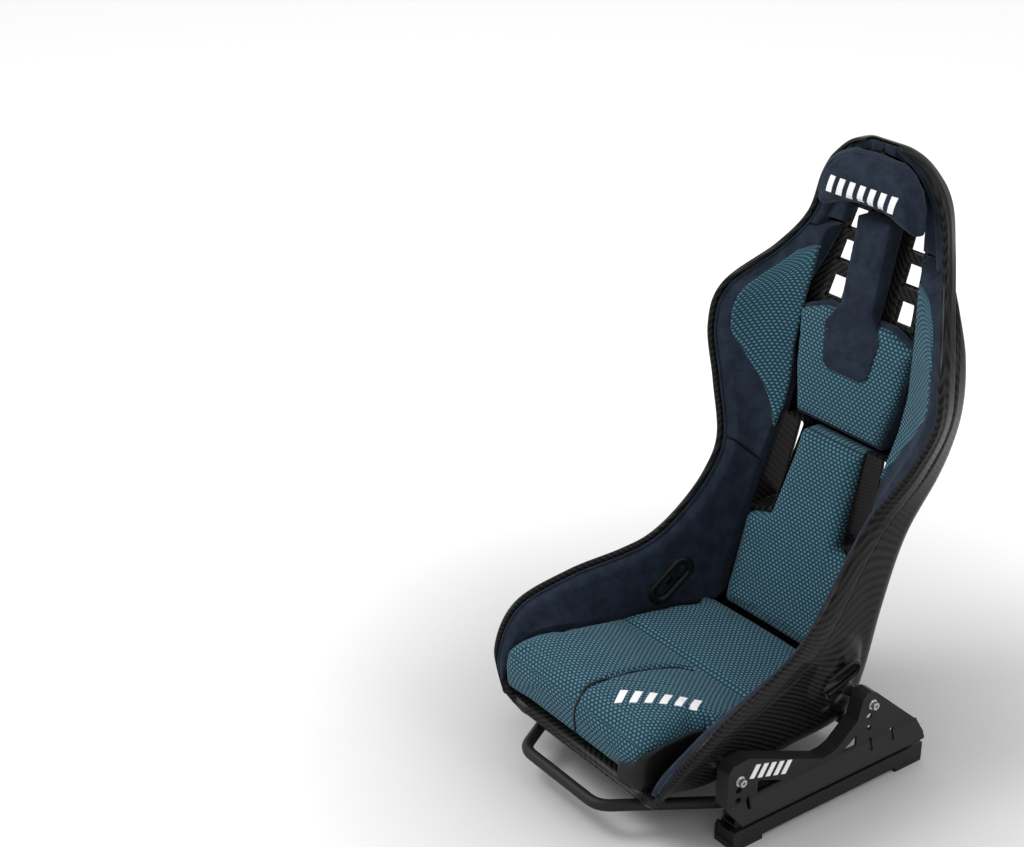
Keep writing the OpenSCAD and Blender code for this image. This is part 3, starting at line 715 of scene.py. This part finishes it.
def near_lines(lines, wide):
    """Weight that is 1 on the lines and fades over a width."""
    return lambda p: np.max([np.exp(-(nearest(p, line)[0] / wide) ** 2) for line in lines], axis=0)


def profile_uv(piece, profile, side_from=90):
    """Weave coordinates: x across and down the sides, and the length along a side profile (y, z)."""
    p = points_of(piece)
    far, along = nearest(np.column_stack([np.zeros(len(p)), p[:, 1:]]),
                         np.column_stack([np.zeros(len(profile)), np.asarray(profile, float)]))
    down = np.sign(p[:, 0]) * far * ease(side_from - 40, side_from, np.abs(p[:, 0]))
    set_uv(piece, np.column_stack([p[:, 0] + down, along]))


def snap(line, piece, lift):
    """A polyline laid on a piece's surface."""
    out = []
    for q in np.asarray(line, float):
        _, at, n, _ = piece.closest_point_on_mesh((q * 0.001).tolist())
        out.append(np.array(at) * 1000 + np.array(n) * lift)
    out = np.array(out)
    for _ in range(3):
        out[1:-1] = (out[:-2] + 2 * out[1:-1] + out[2:]) / 4
    return out


def badge(name, piece, start, along, up, facing, count, size, pitch, lean=7.0):
    """Row of equal slanted dashes laid on a piece; facing points away from it."""
    start, along, up, facing = (np.asarray(q, float) for q in (start, along, up, facing))
    shape = piece.evaluated_get(bpy.context.evaluated_depsgraph_get())
    tree = BVHTree.FromPolygons([piece.matrix_world @ v.co for v in shape.data.vertices],
                                [list(q.vertices) for q in shape.data.polygons])
    parts = []
    for k in range(count):
        a, b = np.meshgrid(np.linspace(0, 1, 6), np.linspace(0, 1, 6), indexing="ij")
        grid = (start + (k * pitch + a[..., None] * size[0] * 0.62 + b[..., None] * lean) * along
                + b[..., None] * size[1] * up)
        hits = [tree.ray_cast(Vector((q + facing * 60) * 0.001), Vector(-facing), 0.12)[0]
                for q in grid.reshape(-1, 3)]
        if None not in hits:
            grid = np.array(hits).reshape(6, 6, 3) * 1000
            parts.append(sandwich(grid + facing * 1.1, grid - facing * 1.2))
    return make(name, *joined(parts), slot=None, smooth=False)


# Side profile that the cushion's weave follows: y, z
CUSHION_TOP = [(-340, 118), (-338, 150), (-330, 186), (-300, 207), (-270, 210), (-240, 207), (-200, 201),
               (-150, 189), (-85, 174), (0, 172), (90, 175)]


def height_of(profile):
    xs, ys = zip(*profile)
    return lambda q: np.interp(q[:, 1], xs, ys)


# Plan of the seat cushion, cut back at its left front corner
PLAN = [(146, -334), (160, -328), (166, -305), (165, -260), (164, -222), (171, -200), (186, -188),
        (189, -150), (187, -50), (176, 14), (152, 62), (131, 97), (-131, 97), (-152, 62), (-176, 14),
        (-187, -50), (-188, -150), (-189, -206), (-194, -236), (-204, -290), (-207, -314), (-198, -329),
        (-146, -334)]
CUSHION_FACE = [(-334, 198), (-300, 205), (-270, 208), (-240, 205), (-200, 199), (-150, 187),
                (-85, 172), (0, 170), (90, 175)]
CUSHION_BASE = [(-334, 122), (-300, 116), (-240, 104), (-140, 92), (-20, 84), (84, 100)]
run = spline(PLAN + PLAN[:1], 6.0)[:-1]
edge_radius = np.interp(run[:, 1], [-334, -290, -200, -60, 60, 97], [42, 34, 24, 16, 12, 8])
blank = slab(run, height_of(CUSHION_FACE), height_of(CUSHION_BASE), edge_radius, axis="z")
centre_seam = spline([(-4, -342, 118), (-4, -340, 160), (-5, -326, 192), (-6, -290, 206),
                      (-5, -220, 200), (-2, -160, 187), (6, -120, 179), (22, -100, 175)])
cross_seam = spline([(x, -86, 173) for x in range(-196, 197, 28)])
nose_seam = spline([(x, -328, 190) for x in range(-200, 165, 28)])
cushion = puff("seat_cushion_cover", *blank, "teal_knit", ["seat_cushion"], 7,
               near_lines([centre_seam, cross_seam], 6))
sew(cushion, [(centre_seam, 5.5, 7), (cross_seam, 2.6, 2.6), (nose_seam, 2.2, 1.2)])
profile_uv(cushion, CUSHION_TOP, 120)
# A black cord laid along the centre seam's groove: painted shade of the groove.
make("cushion_seam_painted_shade", *tube(snap(centre_seam, cushion, 0.2), 2.2, 10), slot="black_plastic")

# Moulded trim round the cushion's cut corner
TRIM_FOOT, TRIM_WALL = 114, 3
edge = spline([(128, -343), (148, -341), (166, -334), (175, -308), (174, -262), (173, -224),
               (179, -204), (187, -196)], 4.0)
away = unit(np.gradient(edge, axis=0)) @ np.array([[0, 1], [-1, 0]])
away = away * np.sign(away[len(edge) // 2, 0])
crest = np.interp(edge[:, 1], [-343, -334, -300, -240, -196], [150, 176, 186, 184, 182])
levels = np.linspace(0, 1, 9)[:, None]
height = TRIM_FOOT + (crest - TRIM_FOOT) * levels
lean = 3 * np.sin(np.pi * levels) + 0 * height
outside = np.stack([edge[:, 0] + away[:, 0] * lean, edge[:, 1] + away[:, 1] * lean, height], -1)
inside = outside - np.column_stack([away, 0 * away[:, 0]]) * TRIM_WALL
make("cushion_side_trim", *sandwich(outside, inside), slot="black_plastic")

# Side profiles of the back's pads: y, z
LUMBAR_FRONT = [(90, 150), (97, 177), (104, 200), (159, 348), (214, 506)]
LUMBAR_REAR = [(148, 150), (186, 240), (228, 366), (262, 506)]
BACK_FRONT = [(220.5, 518), (252.5, 719)]
BACK_REAR = [(262, 518), (268, 620), (275, 719)]
BASE_REAR = [(263, 515), (269, 620), (276, 722)]
HEAD_FRONT = [(258, 890), (252, 905), (250, 935), (256, 975), (272, 1002)]
STRIP_FRONT = [(231, 615), (246, 700), (252, 735), (279, 886)]
STRIP_REAR = [(244, 615), (262, 720), (280, 735), (298, 800), (318, 886)]


def depth_of(profile, shift=0.0):
    ys, zs = zip(*profile)
    return lambda q: np.interp(q[:, 1], zs, ys) + shift


lumbar_shape = outline([[125, 168], [129, 200], [135, 326], [84, 344], [70, 504]])
blank = slab(lumbar_shape, depth_of(LUMBAR_FRONT, 2), depth_of(LUMBAR_REAR), 9)
lumbar = puff("lumbar_pad_cover", *blank, "teal_knit", ["lumbar_pad"], 5)
profile_uv(lumbar, LUMBAR_FRONT)

upper_shape = outline([[98, 520], [118, 600], [130, 698], [74, 719], [0, 719]], 4.0)
blank = slab(upper_shape, depth_of(BACK_FRONT, 2), depth_of(BACK_REAR), 6)
upper = puff("upper_back_cover", *blank, "teal_knit", ["upper_back_pad"], 3, voxel=4.0)
profile_uv(upper, BACK_FRONT)
base_shape = outline([[99, 516], [120, 600], [133, 700], [76, 723], [0, 723]], 4.0)
blank = slab(base_shape, depth_of(BACK_FRONT, 12), depth_of(BASE_REAR), 4, 3)
base = make("upper_back_base", *blank, slot="navy_suede")

block_shape = outline([[54, 905], [56, 960], [48, 970]], 4.0)
blank = slab(block_shape, depth_of([(276, 905), (280, 970)]), depth_of([(316, 905), (316, 970)]), 3, 3)
block = make("head_pad_block", *blank, slot="navy_suede")
head_shape = outline([[0, 907], [57, 902], [104, 890], [117, 893], [118, 906], [113, 940], [102, 968],
                      [82, 989], [54, 1001], [0, 1004]])
blank = slab(head_shape, depth_of(HEAD_FRONT), depth_of([(284, 890), (290, 1002)]), 16, 9)
head = puff("head_pad_cover", *blank, "navy_suede", ["head_pad"], 6)
head_edge = [(104, 250, 905), (98, 248, 940), (86, 252, 966), (66, 262, 984), (40, 268, 990)]
head_seam = [(-x, y, z) for x, y, z in head_edge] + [(0, 270, 992)] + head_edge[::-1]
sew(head, [(snap(spline(head_seam), head, 0), 2.2, 1.8)])

strip_shape = outline([[37, 617], [53, 629], [65, 695], [38, 735], [37, 886]], 3.0)
blank = slab(strip_shape, depth_of(STRIP_FRONT), depth_of(STRIP_REAR), 3, 2)
strip = puff("spine_strip_cover", *blank, "navy_suede", ["spine_strip"], 1.2, voxel=2.6)
sew(strip, [([(-58, y, z), (58, y, z)], 2.6, 3.2)
            for y, z in ((234.5, 637), (237, 652), (240, 667), (242.5, 682))])

# ---------------- hard pieces


def bevelled(node, width, body):
    """A copy of a CAD node with its edges rounded, in its place."""
    piece = nodes[node].copy()
    piece.data = nodes[node].data.copy()
    piece.name = node + "_finished"
    for key in list(piece.keys()):
        del piece[key]
    piece.parent = None
    bpy.context.scene.collection.objects.link(piece)
    weld = piece.modifiers.new("weld", "WELD")
    weld.merge_threshold = 0.00002
    mod = piece.modifiers.new("bevel", "BEVEL")
    mod.width, mod.segments, mod.limit_method = width * 0.001, 3, "ANGLE"
    mod.angle_limit = math.radians(40)
    mod.harden_normals = True
    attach(piece, body)
    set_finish(piece, "black_metal")
    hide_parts(node)
    return piece


bevelled("rail_left", 1.0, "floor_rails")
bevelled("rail_right", 1.0, "floor_rails")
bevelled("rail_feet", 1.2, "floor_rails")
bevelled("slider_left", 1.0, CARRIAGE)
bevelled("slider_right", 1.0, CARRIAGE)
mounts = {side: bevelled("side_mount_" + side, 0.8, CARRIAGE) for side, s in SIDES}

ARM_X, BAR_R, BOSS_R, BOSS_HALF = 203, 10, 12, 8
PIVOT, BEND, FRONT = (-40, 50), (-188, 50), (98, -360, 55)
half_bar = [(ARM_X, *PIVOT), (ARM_X, *BEND), FRONT]
bar_path = rounded_path(half_bar + [(-x, y, z) for x, y, z in half_bar[::-1]], 42)
bosses = [tube([(s * (ARM_X - BOSS_HALF), *PIVOT), (s * (ARM_X + BOSS_HALF), *PIVOT)], BOSS_R, 32)
          for side, s in SIDES]
make("release_bar_tube", *joined([tube(bar_path, BAR_R, 24), *bosses]), body="bar", slot="black_metal",
     replaces=["release_bar"])


def slot_frame(side, s):
    """Deep moulded frame of the slot beside the lumbar pad, from the pads down to the shell."""
    name = "slot_frame_" + side
    loop = round_corners([(86, 348), (134, 334), (124, 508), (74, 508)], 9)
    middle = loop.mean(0)
    inner, lip = loop + unit(middle - loop) * 3, loop + unit(loop - middle) * 4
    front = np.interp(loop[:, 1], [150, 200, 348, 506], [91, 104, 159, 214]) + 12
    back = face(*at_xz(loop[:, 0], loop[:, 1]).T)[:, 1] + 5.5
    section = ((inner, back), (inner, back * 0.5 + front * 0.5), (inner, front + 1.5),
               (inner * 0.8 + loop * 0.2, front), (lip, front - 1), (lip, front + 1.5),
               (loop, front + 3), (loop, back))
    points, faces = looped([np.column_stack([p[:, 0] * s, y, p[:, 1]]) for p, y in section])
    around = np.concatenate([[0], np.cumsum(np.linalg.norm(np.diff(loop, axis=0), axis=1))])
    uv = np.column_stack([np.tile(around, len(section)), points[:, 1]])
    make(name + "_liner", points, faces, uv, slot="black_plastic", replaces=[name], smooth=False)


# z of the foot and the top, and x of the sides
LOUVER_SLOTS = [(731, 761, 66, 95), (794, 822, 62, 90), (850, 877, 58, 84)]


def louver_panel(side, s):
    """Panel with three slanted slots, set into the shell's window."""
    name = "louver_panel_" + side
    frame_xz = round_corners([(53, 718), (108, 718), (89, 891), (44, 891)], 8)
    panel = make(name, *window_solid(at_xz(frame_xz[:, 0], frame_xz[:, 1]), -4, 4.8, s),
                 slot="carbon", replaces=["louver_" + side])
    tools = []
    for low, high, x0, x1 in LOUVER_SLOTS:
        y = np.interp((low + high) / 2, [718, 800, 865, 940], [281, 302, 321, 334])
        front = [(x0 - 5, low - 9), (x1 + 3, low - 9), (x1, high + 3), (x0 - 8, high + 3)]
        middle = [(x0, low), (x1, low), (x1 - 3, high), (x0 - 3, high)]
        back = [(x0, low + 7), (x1, low + 7), (x1 - 3, high + 7), (x0 - 3, high + 7)]
        rings = [[(x, y - 30, z) for x, z in front], [(x, y - 4, z) for x, z in front],
                 [(x, y + 7, z) for x, z in middle], [(x, y + 40, z) for x, z in back]]
        tools.append(cutter(f"tool_{low}_{side}", *sided(*capped(np.array(rings), flip=True), s)))
    cut(panel, tools)
    mod = panel.modifiers.new("bevel", "BEVEL")
    mod.width, mod.segments, mod.limit_method, mod.angle_limit = 0.0012, 3, "ANGLE", math.radians(35)
    apply(panel)
    p = points_of(panel)
    set_uv(panel, np.column_stack([p[:, 0], p[:, 2] + p[:, 1] * 0.5]))


def belt_guide(side, s):
    """Moulded guide of the lap belt slot: a collar on the pad, a tunnel and a collar outside."""
    way = BELT_OUT - BELT_IN
    inside = [(30, 22, -6), (30, 22, 2), (29.4, 20.6, 4.6), (28, 18, 5.4), (26.6, 14.5, 4.8),
              (25.4, 11.5, 2.2), (25, 10.5, -3)]
    outside = [(23, 11, 2), (23.4, 12.4, -3.4), (24.4, 15, -4.6), (25.6, 18, -3.4), (26, 19, 1)]
    rings = [oblong_ring(BELT_IN, *q) for q in inside]
    rings += [oblong_ring(BELT_IN + way * f, 24, 11, -3) for f in (0.33, 0.66)]
    rings += [oblong_ring(BELT_OUT - unit(way) * 2, *q, axes=POD_AXES) for q in outside]
    rings += [oblong_ring(BELT_IN + way * f, 24.5, 17.5, -3) for f in (0.7, 0.3)]
    make("belt_guide_moulding_" + side, *sided(*looped(rings), s), slot="black_plastic",
         replaces=["belt_guide_" + side])


for side, s in SIDES:
    belt_guide(side, s)
    louver_panel(side, s)
    slot_frame(side, s)
    at = np.linspace(0.6, 15.4, 300)
    rim_line = off(at, (to_rim(at) + WALL_V * 2 / 150) * s, np.full(300, -3.5))
    make("rim_piping_" + side, *tube(rim_line, 2.6, 10), slot="navy_suede")

bpy.context.view_layer.update()
badge("head_badge", head, (-80, 250, 922), (1, 0, 0), (0, 0, 1), (0, -1, 0.05), 7, (20, 29), 23)
badge("cushion_badge", cushion, (131, -173, 205), (-0.69, -0.724, 0), (0.724, -0.69, 0), (0, 0, 1),
      6, (20, 32), 24, 8)
badge("back_badge", shell, (64, 345, 936), (-1, 0, 0), (0, 0, 1), (0, 1, 0), 7, (17, 26), 18)
for side, s in SIDES:
    badge("mount_badge_" + side, mounts[side], (s * 244, -190, 132), (0, 0.96, -0.28), (0, 0.28, 0.96),
          (s, 0, 0), 8, (16, 24), 18)

# ---------------- materials


def add(tree, kind, **inputs):
    """A new shader node with its inputs set or linked."""
    n = tree.nodes.new("ShaderNode" + kind)
    for key, value in inputs.items():
        socket = n.inputs[key.replace("_", " ")]
        if isinstance(value, bpy.types.NodeSocket):
            tree.links.new(value, socket)
        else:
            socket.default_value = value
    return n


class Num:
    """A node output that can be used in sums."""

    def __init__(self, tree, socket):
        self.tree, self.socket = tree, socket

    def op(self, kind, *others):
        n = add(self.tree, "Math")
        n.operation = kind
        for k, value in enumerate((self, *others)):
            if isinstance(value, Num):
                self.tree.links.new(value.socket, n.inputs[k])
            else:
                n.inputs[k].default_value = value
        return Num(self.tree, n.outputs[0])

    def __add__(self, o): return self.op("ADD", o)
    def __sub__(self, o): return self.op("SUBTRACT", o)
    def __mul__(self, o): return self.op("MULTIPLY", o)
    def __truediv__(self, o): return self.op("DIVIDE", o)
    __radd__, __rmul__ = __add__, __mul__

    def step(self, low, high):
        """Smooth step from 0 at low to 1 at high."""
        n = add(self.tree, "MapRange", Value=self.socket, From_Min=low, From_Max=high)
        n.interpolation_type = "SMOOTHSTEP"
        return Num(self.tree, n.outputs[0])


class Look:
    """A material under construction."""

    def __init__(self, name, roughness=0.5, **fixed):
        self.mat = bpy.data.materials.new(name)
        self.mat.use_nodes = True
        self.tree = self.mat.node_tree
        self.tree.nodes.clear()
        self.shader = add(self.tree, "BsdfPrincipled", Roughness=roughness, **fixed)
        add(self.tree, "OutputMaterial", Surface=self.shader.outputs[0])

    def uv(self):
        n = add(self.tree, "UVMap")
        n.uv_map = "weave"
        return self.split(n.outputs[0])

    def place(self):
        return add(self.tree, "TexCoord").outputs["Object"]

    def split(self, socket):
        return [Num(self.tree, o) for o in add(self.tree, "SeparateXYZ", Vector=socket).outputs]

    def noise(self, scale, detail=2.0, rough=0.5):
        n = add(self.tree, "TexNoise", Vector=self.place(), Scale=scale, Detail=detail, Roughness=rough)
        return Num(self.tree, n.outputs["Fac"])

    def mix(self, fac, a, b):
        n = add(self.tree, "Mix")
        n.data_type = "RGBA"
        self.tree.links.new(fac.socket, n.inputs["Factor"])
        for key, value in (("A", a), ("B", b)):
            slot = [i for i in n.inputs if i.name == key and i.type == "RGBA"][0]
            if isinstance(value, tuple):
                slot.default_value = (*value, 1)
            else:
                self.tree.links.new(value, slot)
        return [o for o in n.outputs if o.type == "RGBA"][0]

    def colour(self, socket):
        self.tree.links.new(socket, self.shader.inputs["Base Color"])

    def roughness(self, value):
        self.tree.links.new(value.socket, self.shader.inputs["Roughness"])

    def bump(self, height, distance, strength):
        n = add(self.tree, "Bump", Height=height.socket, Distance=distance, Strength=strength)
        self.tree.links.new(n.outputs[0], self.shader.inputs["Normal"])


def carbon_look():
    """Twill of two tows over two, under a thin clear coat."""
    look = Look("carbon_weave", 0.4, Coat_Weight=0.45, Coat_Roughness=0.12, Coat_IOR=1.2,
                Specular_IOR_Level=0.03)
    u, v, _ = look.uv()
    tow = 0.0034
    a, b = (u.op("ABSOLUTE") + 1) / tow, (v + 1) / tow
    over = (a.op("FLOOR") + b.op("FLOOR")).op("FLOORED_MODULO", 4).op("LESS_THAN", 1.5)
    fa, fb = a.op("FRACT") - 0.5, b.op("FRACT") - 0.5
    ridge_a, ridge_b = fa * fa * -3.2 + 1, fb * fb * -3.2 + 1
    height = over * ridge_a + (over * -1 + 1) * ridge_b
    patch = look.noise(9, 3)
    # Tows lying on top are painted lighter than the tows below them: painted reflection of the fibres.
    # Each tow is also darker towards its edges, and the noise patches vary the tone at random.
    painted_reflection_and_tone = (over * 0.75 + 0.12) * height.step(0.1, 1.0) * (patch * 0.7 + 0.65)
    look.colour(look.mix(painted_reflection_and_tone, (0.0022, 0.0022, 0.0024), (0.021, 0.0205, 0.02)))
    look.roughness(over * 0.14 + 0.3)
    look.bump(height, 0.00012, 0.5)
    return look.mat


def knit_look():
    """Rows of staggered light dashes on a dark ground."""
    look = Look("teal_knit", 0.9, Sheen_Weight=0.06, Sheen_Roughness=0.5, Specular_IOR_Level=0.1)
    u, v, _ = look.uv()
    wide, tall = 0.0092, 0.0060
    row = (v + 1) / tall
    col = (u + 1) / wide + row.op("FLOOR").op("FLOORED_MODULO", 2) * 0.5
    x, y = (col.op("FRACT") - 0.5) * 2, (row.op("FRACT") - 0.5) * 2
    dist = ((x * x) / 0.46 + (y * y) / 0.5).op("SQRT")
    dash = dist.step(1.08, 0.72)
    fibre = look.noise(900, 2)
    tone = look.noise(22, 2)
    light = look.mix((fibre - 0.3) * 1.6, (0.045, 0.125, 0.17), (0.13, 0.265, 0.325))
    dark = look.mix(fibre, (0.006, 0.022, 0.036), (0.016, 0.048, 0.07))
    look.colour(look.mix(dash * (tone * 0.5 + 0.7), dark, light))
    look.bump(dash * 0.8 + fibre * 0.3, 0.0009, 0.9)
    return look.mat


def suede_look():
    look = Look("navy_suede", 0.92, Sheen_Weight=0.12, Sheen_Roughness=0.45, Specular_IOR_Level=0.1)
    look.shader.inputs["Sheen Tint"].default_value = (0.6, 0.68, 0.85, 1)
    big, small, nap = look.noise(38, 4, 0.62), look.noise(180, 3), look.noise(1500, 2)
    fac = (big.step(0.35, 0.68) * 0.6 + small * 0.4 + nap * 0.25 - 0.1)
    look.colour(look.mix(fac, (0.006, 0.0095, 0.017), (0.0165, 0.0245, 0.039)))
    look.bump(nap * 0.5 + small * 0.4, 0.0004, 0.6)
    return look.mat


def plain_look(name, low, high, roughness, metallic, grain):
    """Metal, coating or plastic with a fine grain and slight patches."""
    look = Look(name, roughness, Metallic=metallic, Specular_IOR_Level=0.5 if metallic else 0.2)
    big, fine = look.noise(14, 3), look.noise(grain, 2)
    look.colour(look.mix(big * 0.6 + fine * 0.4, low, high))
    look.roughness(fine * 0.12 + big * 0.1 + (roughness - 0.11))
    look.bump(fine, 0.00015, 0.5)
    return look.mat


LOOKS = {"carbon": carbon_look(), "teal_knit": knit_look(), "navy_suede": suede_look()}
PLAIN = [
    ("black_metal", "black_powder_coat", (0.007, 0.007, 0.0075), (0.013, 0.013, 0.014), 0.5, 0, 1800),
    ("black_plastic", "black_moulding", (0.003, 0.003, 0.0032), (0.008, 0.008, 0.0085), 0.4, 0, 900),
    ("nylon", "grey_nylon", (0.04, 0.04, 0.042), (0.07, 0.07, 0.072), 0.6, 0, 700),
    ("steel", "zinc_steel", (0.42, 0.42, 0.44), (0.68, 0.68, 0.69), 0.32, 1, 500),
    ("badge_print", "badge_print", (0.6, 0.61, 0.63), (0.76, 0.76, 0.77), 0.5, 0, 600)]
for slot, *args in PLAIN:
    LOOKS[slot] = plain_look(*args)
NODE_SLOTS = {"end_stops": "black_plastic", "glide_shoes": "nylon", "cross_tube": "black_metal",
              "seat_spacers": "black_metal", "latch_guides": "black_metal", "pad_fasteners": "nylon"}

for piece in [p for p in bpy.context.scene.collection.all_objects if p.type == "MESH"]:
    if piece.name.startswith("slot_frame"):
        name = "carbon"
    elif "badge" in piece.name:
        name = "badge_print"
    else:
        name = piece.get("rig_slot") or NODE_SLOTS.get(piece["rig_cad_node"], "steel")
    piece.data.materials.clear()
    piece.data.materials.append(LOOKS[name])
    piece.data.polygons.foreach_set("material_index", [0] * len(piece.data.polygons))

# ---------------- floor, light and camera

floor_mesh = bpy.data.meshes.new("floor")
floor_mesh.from_pydata([(-30, -30, 0), (30, -30, 0), (30, 30, 0), (-30, 30, 0)], [], [(0, 1, 2, 3)])
placed("floor", floor_mesh)
look = Look("pale_floor_with_painted_shade", 0.8, Specular_IOR_Level=0.1)
x, y, _ = look.split(look.place())
# The floor is painted grey round the seat and fades to white further out: painted shade under and around
# the seat.
painted_floor_shade = (x * x + y * y).op("SQRT").step(-0.2, 1.7) + look.noise(0.8, 1) * 0.02
look.colour(look.mix(painted_floor_shade, (0.37, 0.37, 0.37), (0.97, 0.97, 0.97)))
floor_mesh.materials.append(look.mat)

world = bpy.data.worlds.new("studio")
bpy.context.scene.world = world
world.use_nodes = True
world.node_tree.nodes["Background"].inputs[0].default_value = (1, 1, 1, 1)
world.node_tree.nodes["Background"].inputs[1].default_value = 0.95


def softbox(name, at, aim, size, power):
    light = bpy.data.lights.new(name, "AREA")
    light.shape, light.size, light.size_y, light.energy = "RECTANGLE", size[0], size[1], power
    lamp = placed(name, light)
    lamp.location = at
    lamp.rotation_euler = (Vector(aim) - Vector(at)).to_track_quat("-Z", "Y").to_euler()


softbox("key", (-1.6, -1.8, 3.2), (0, 0, 0.5), (1.6, 1.6), 80)
softbox("rim", (2.6, 1.2, 2.4), (0, 0, 0.5), (1.4, 2.4), 30)

camera_data = bpy.data.cameras.new("camera")
camera = placed("camera", camera_data)
camera.location = (2.091, -1.9915, 1.950)
camera.rotation_euler = (math.radians(90 - 24.07), 0, math.radians(53.8))
camera_data.lens = 68.48
camera_data.sensor_width = 36
camera_data.shift_x, camera_data.shift_y = 0.0017, -0.0419
bpy.context.scene.camera = camera
bpy.context.scene.view_settings.view_transform = "Standard"
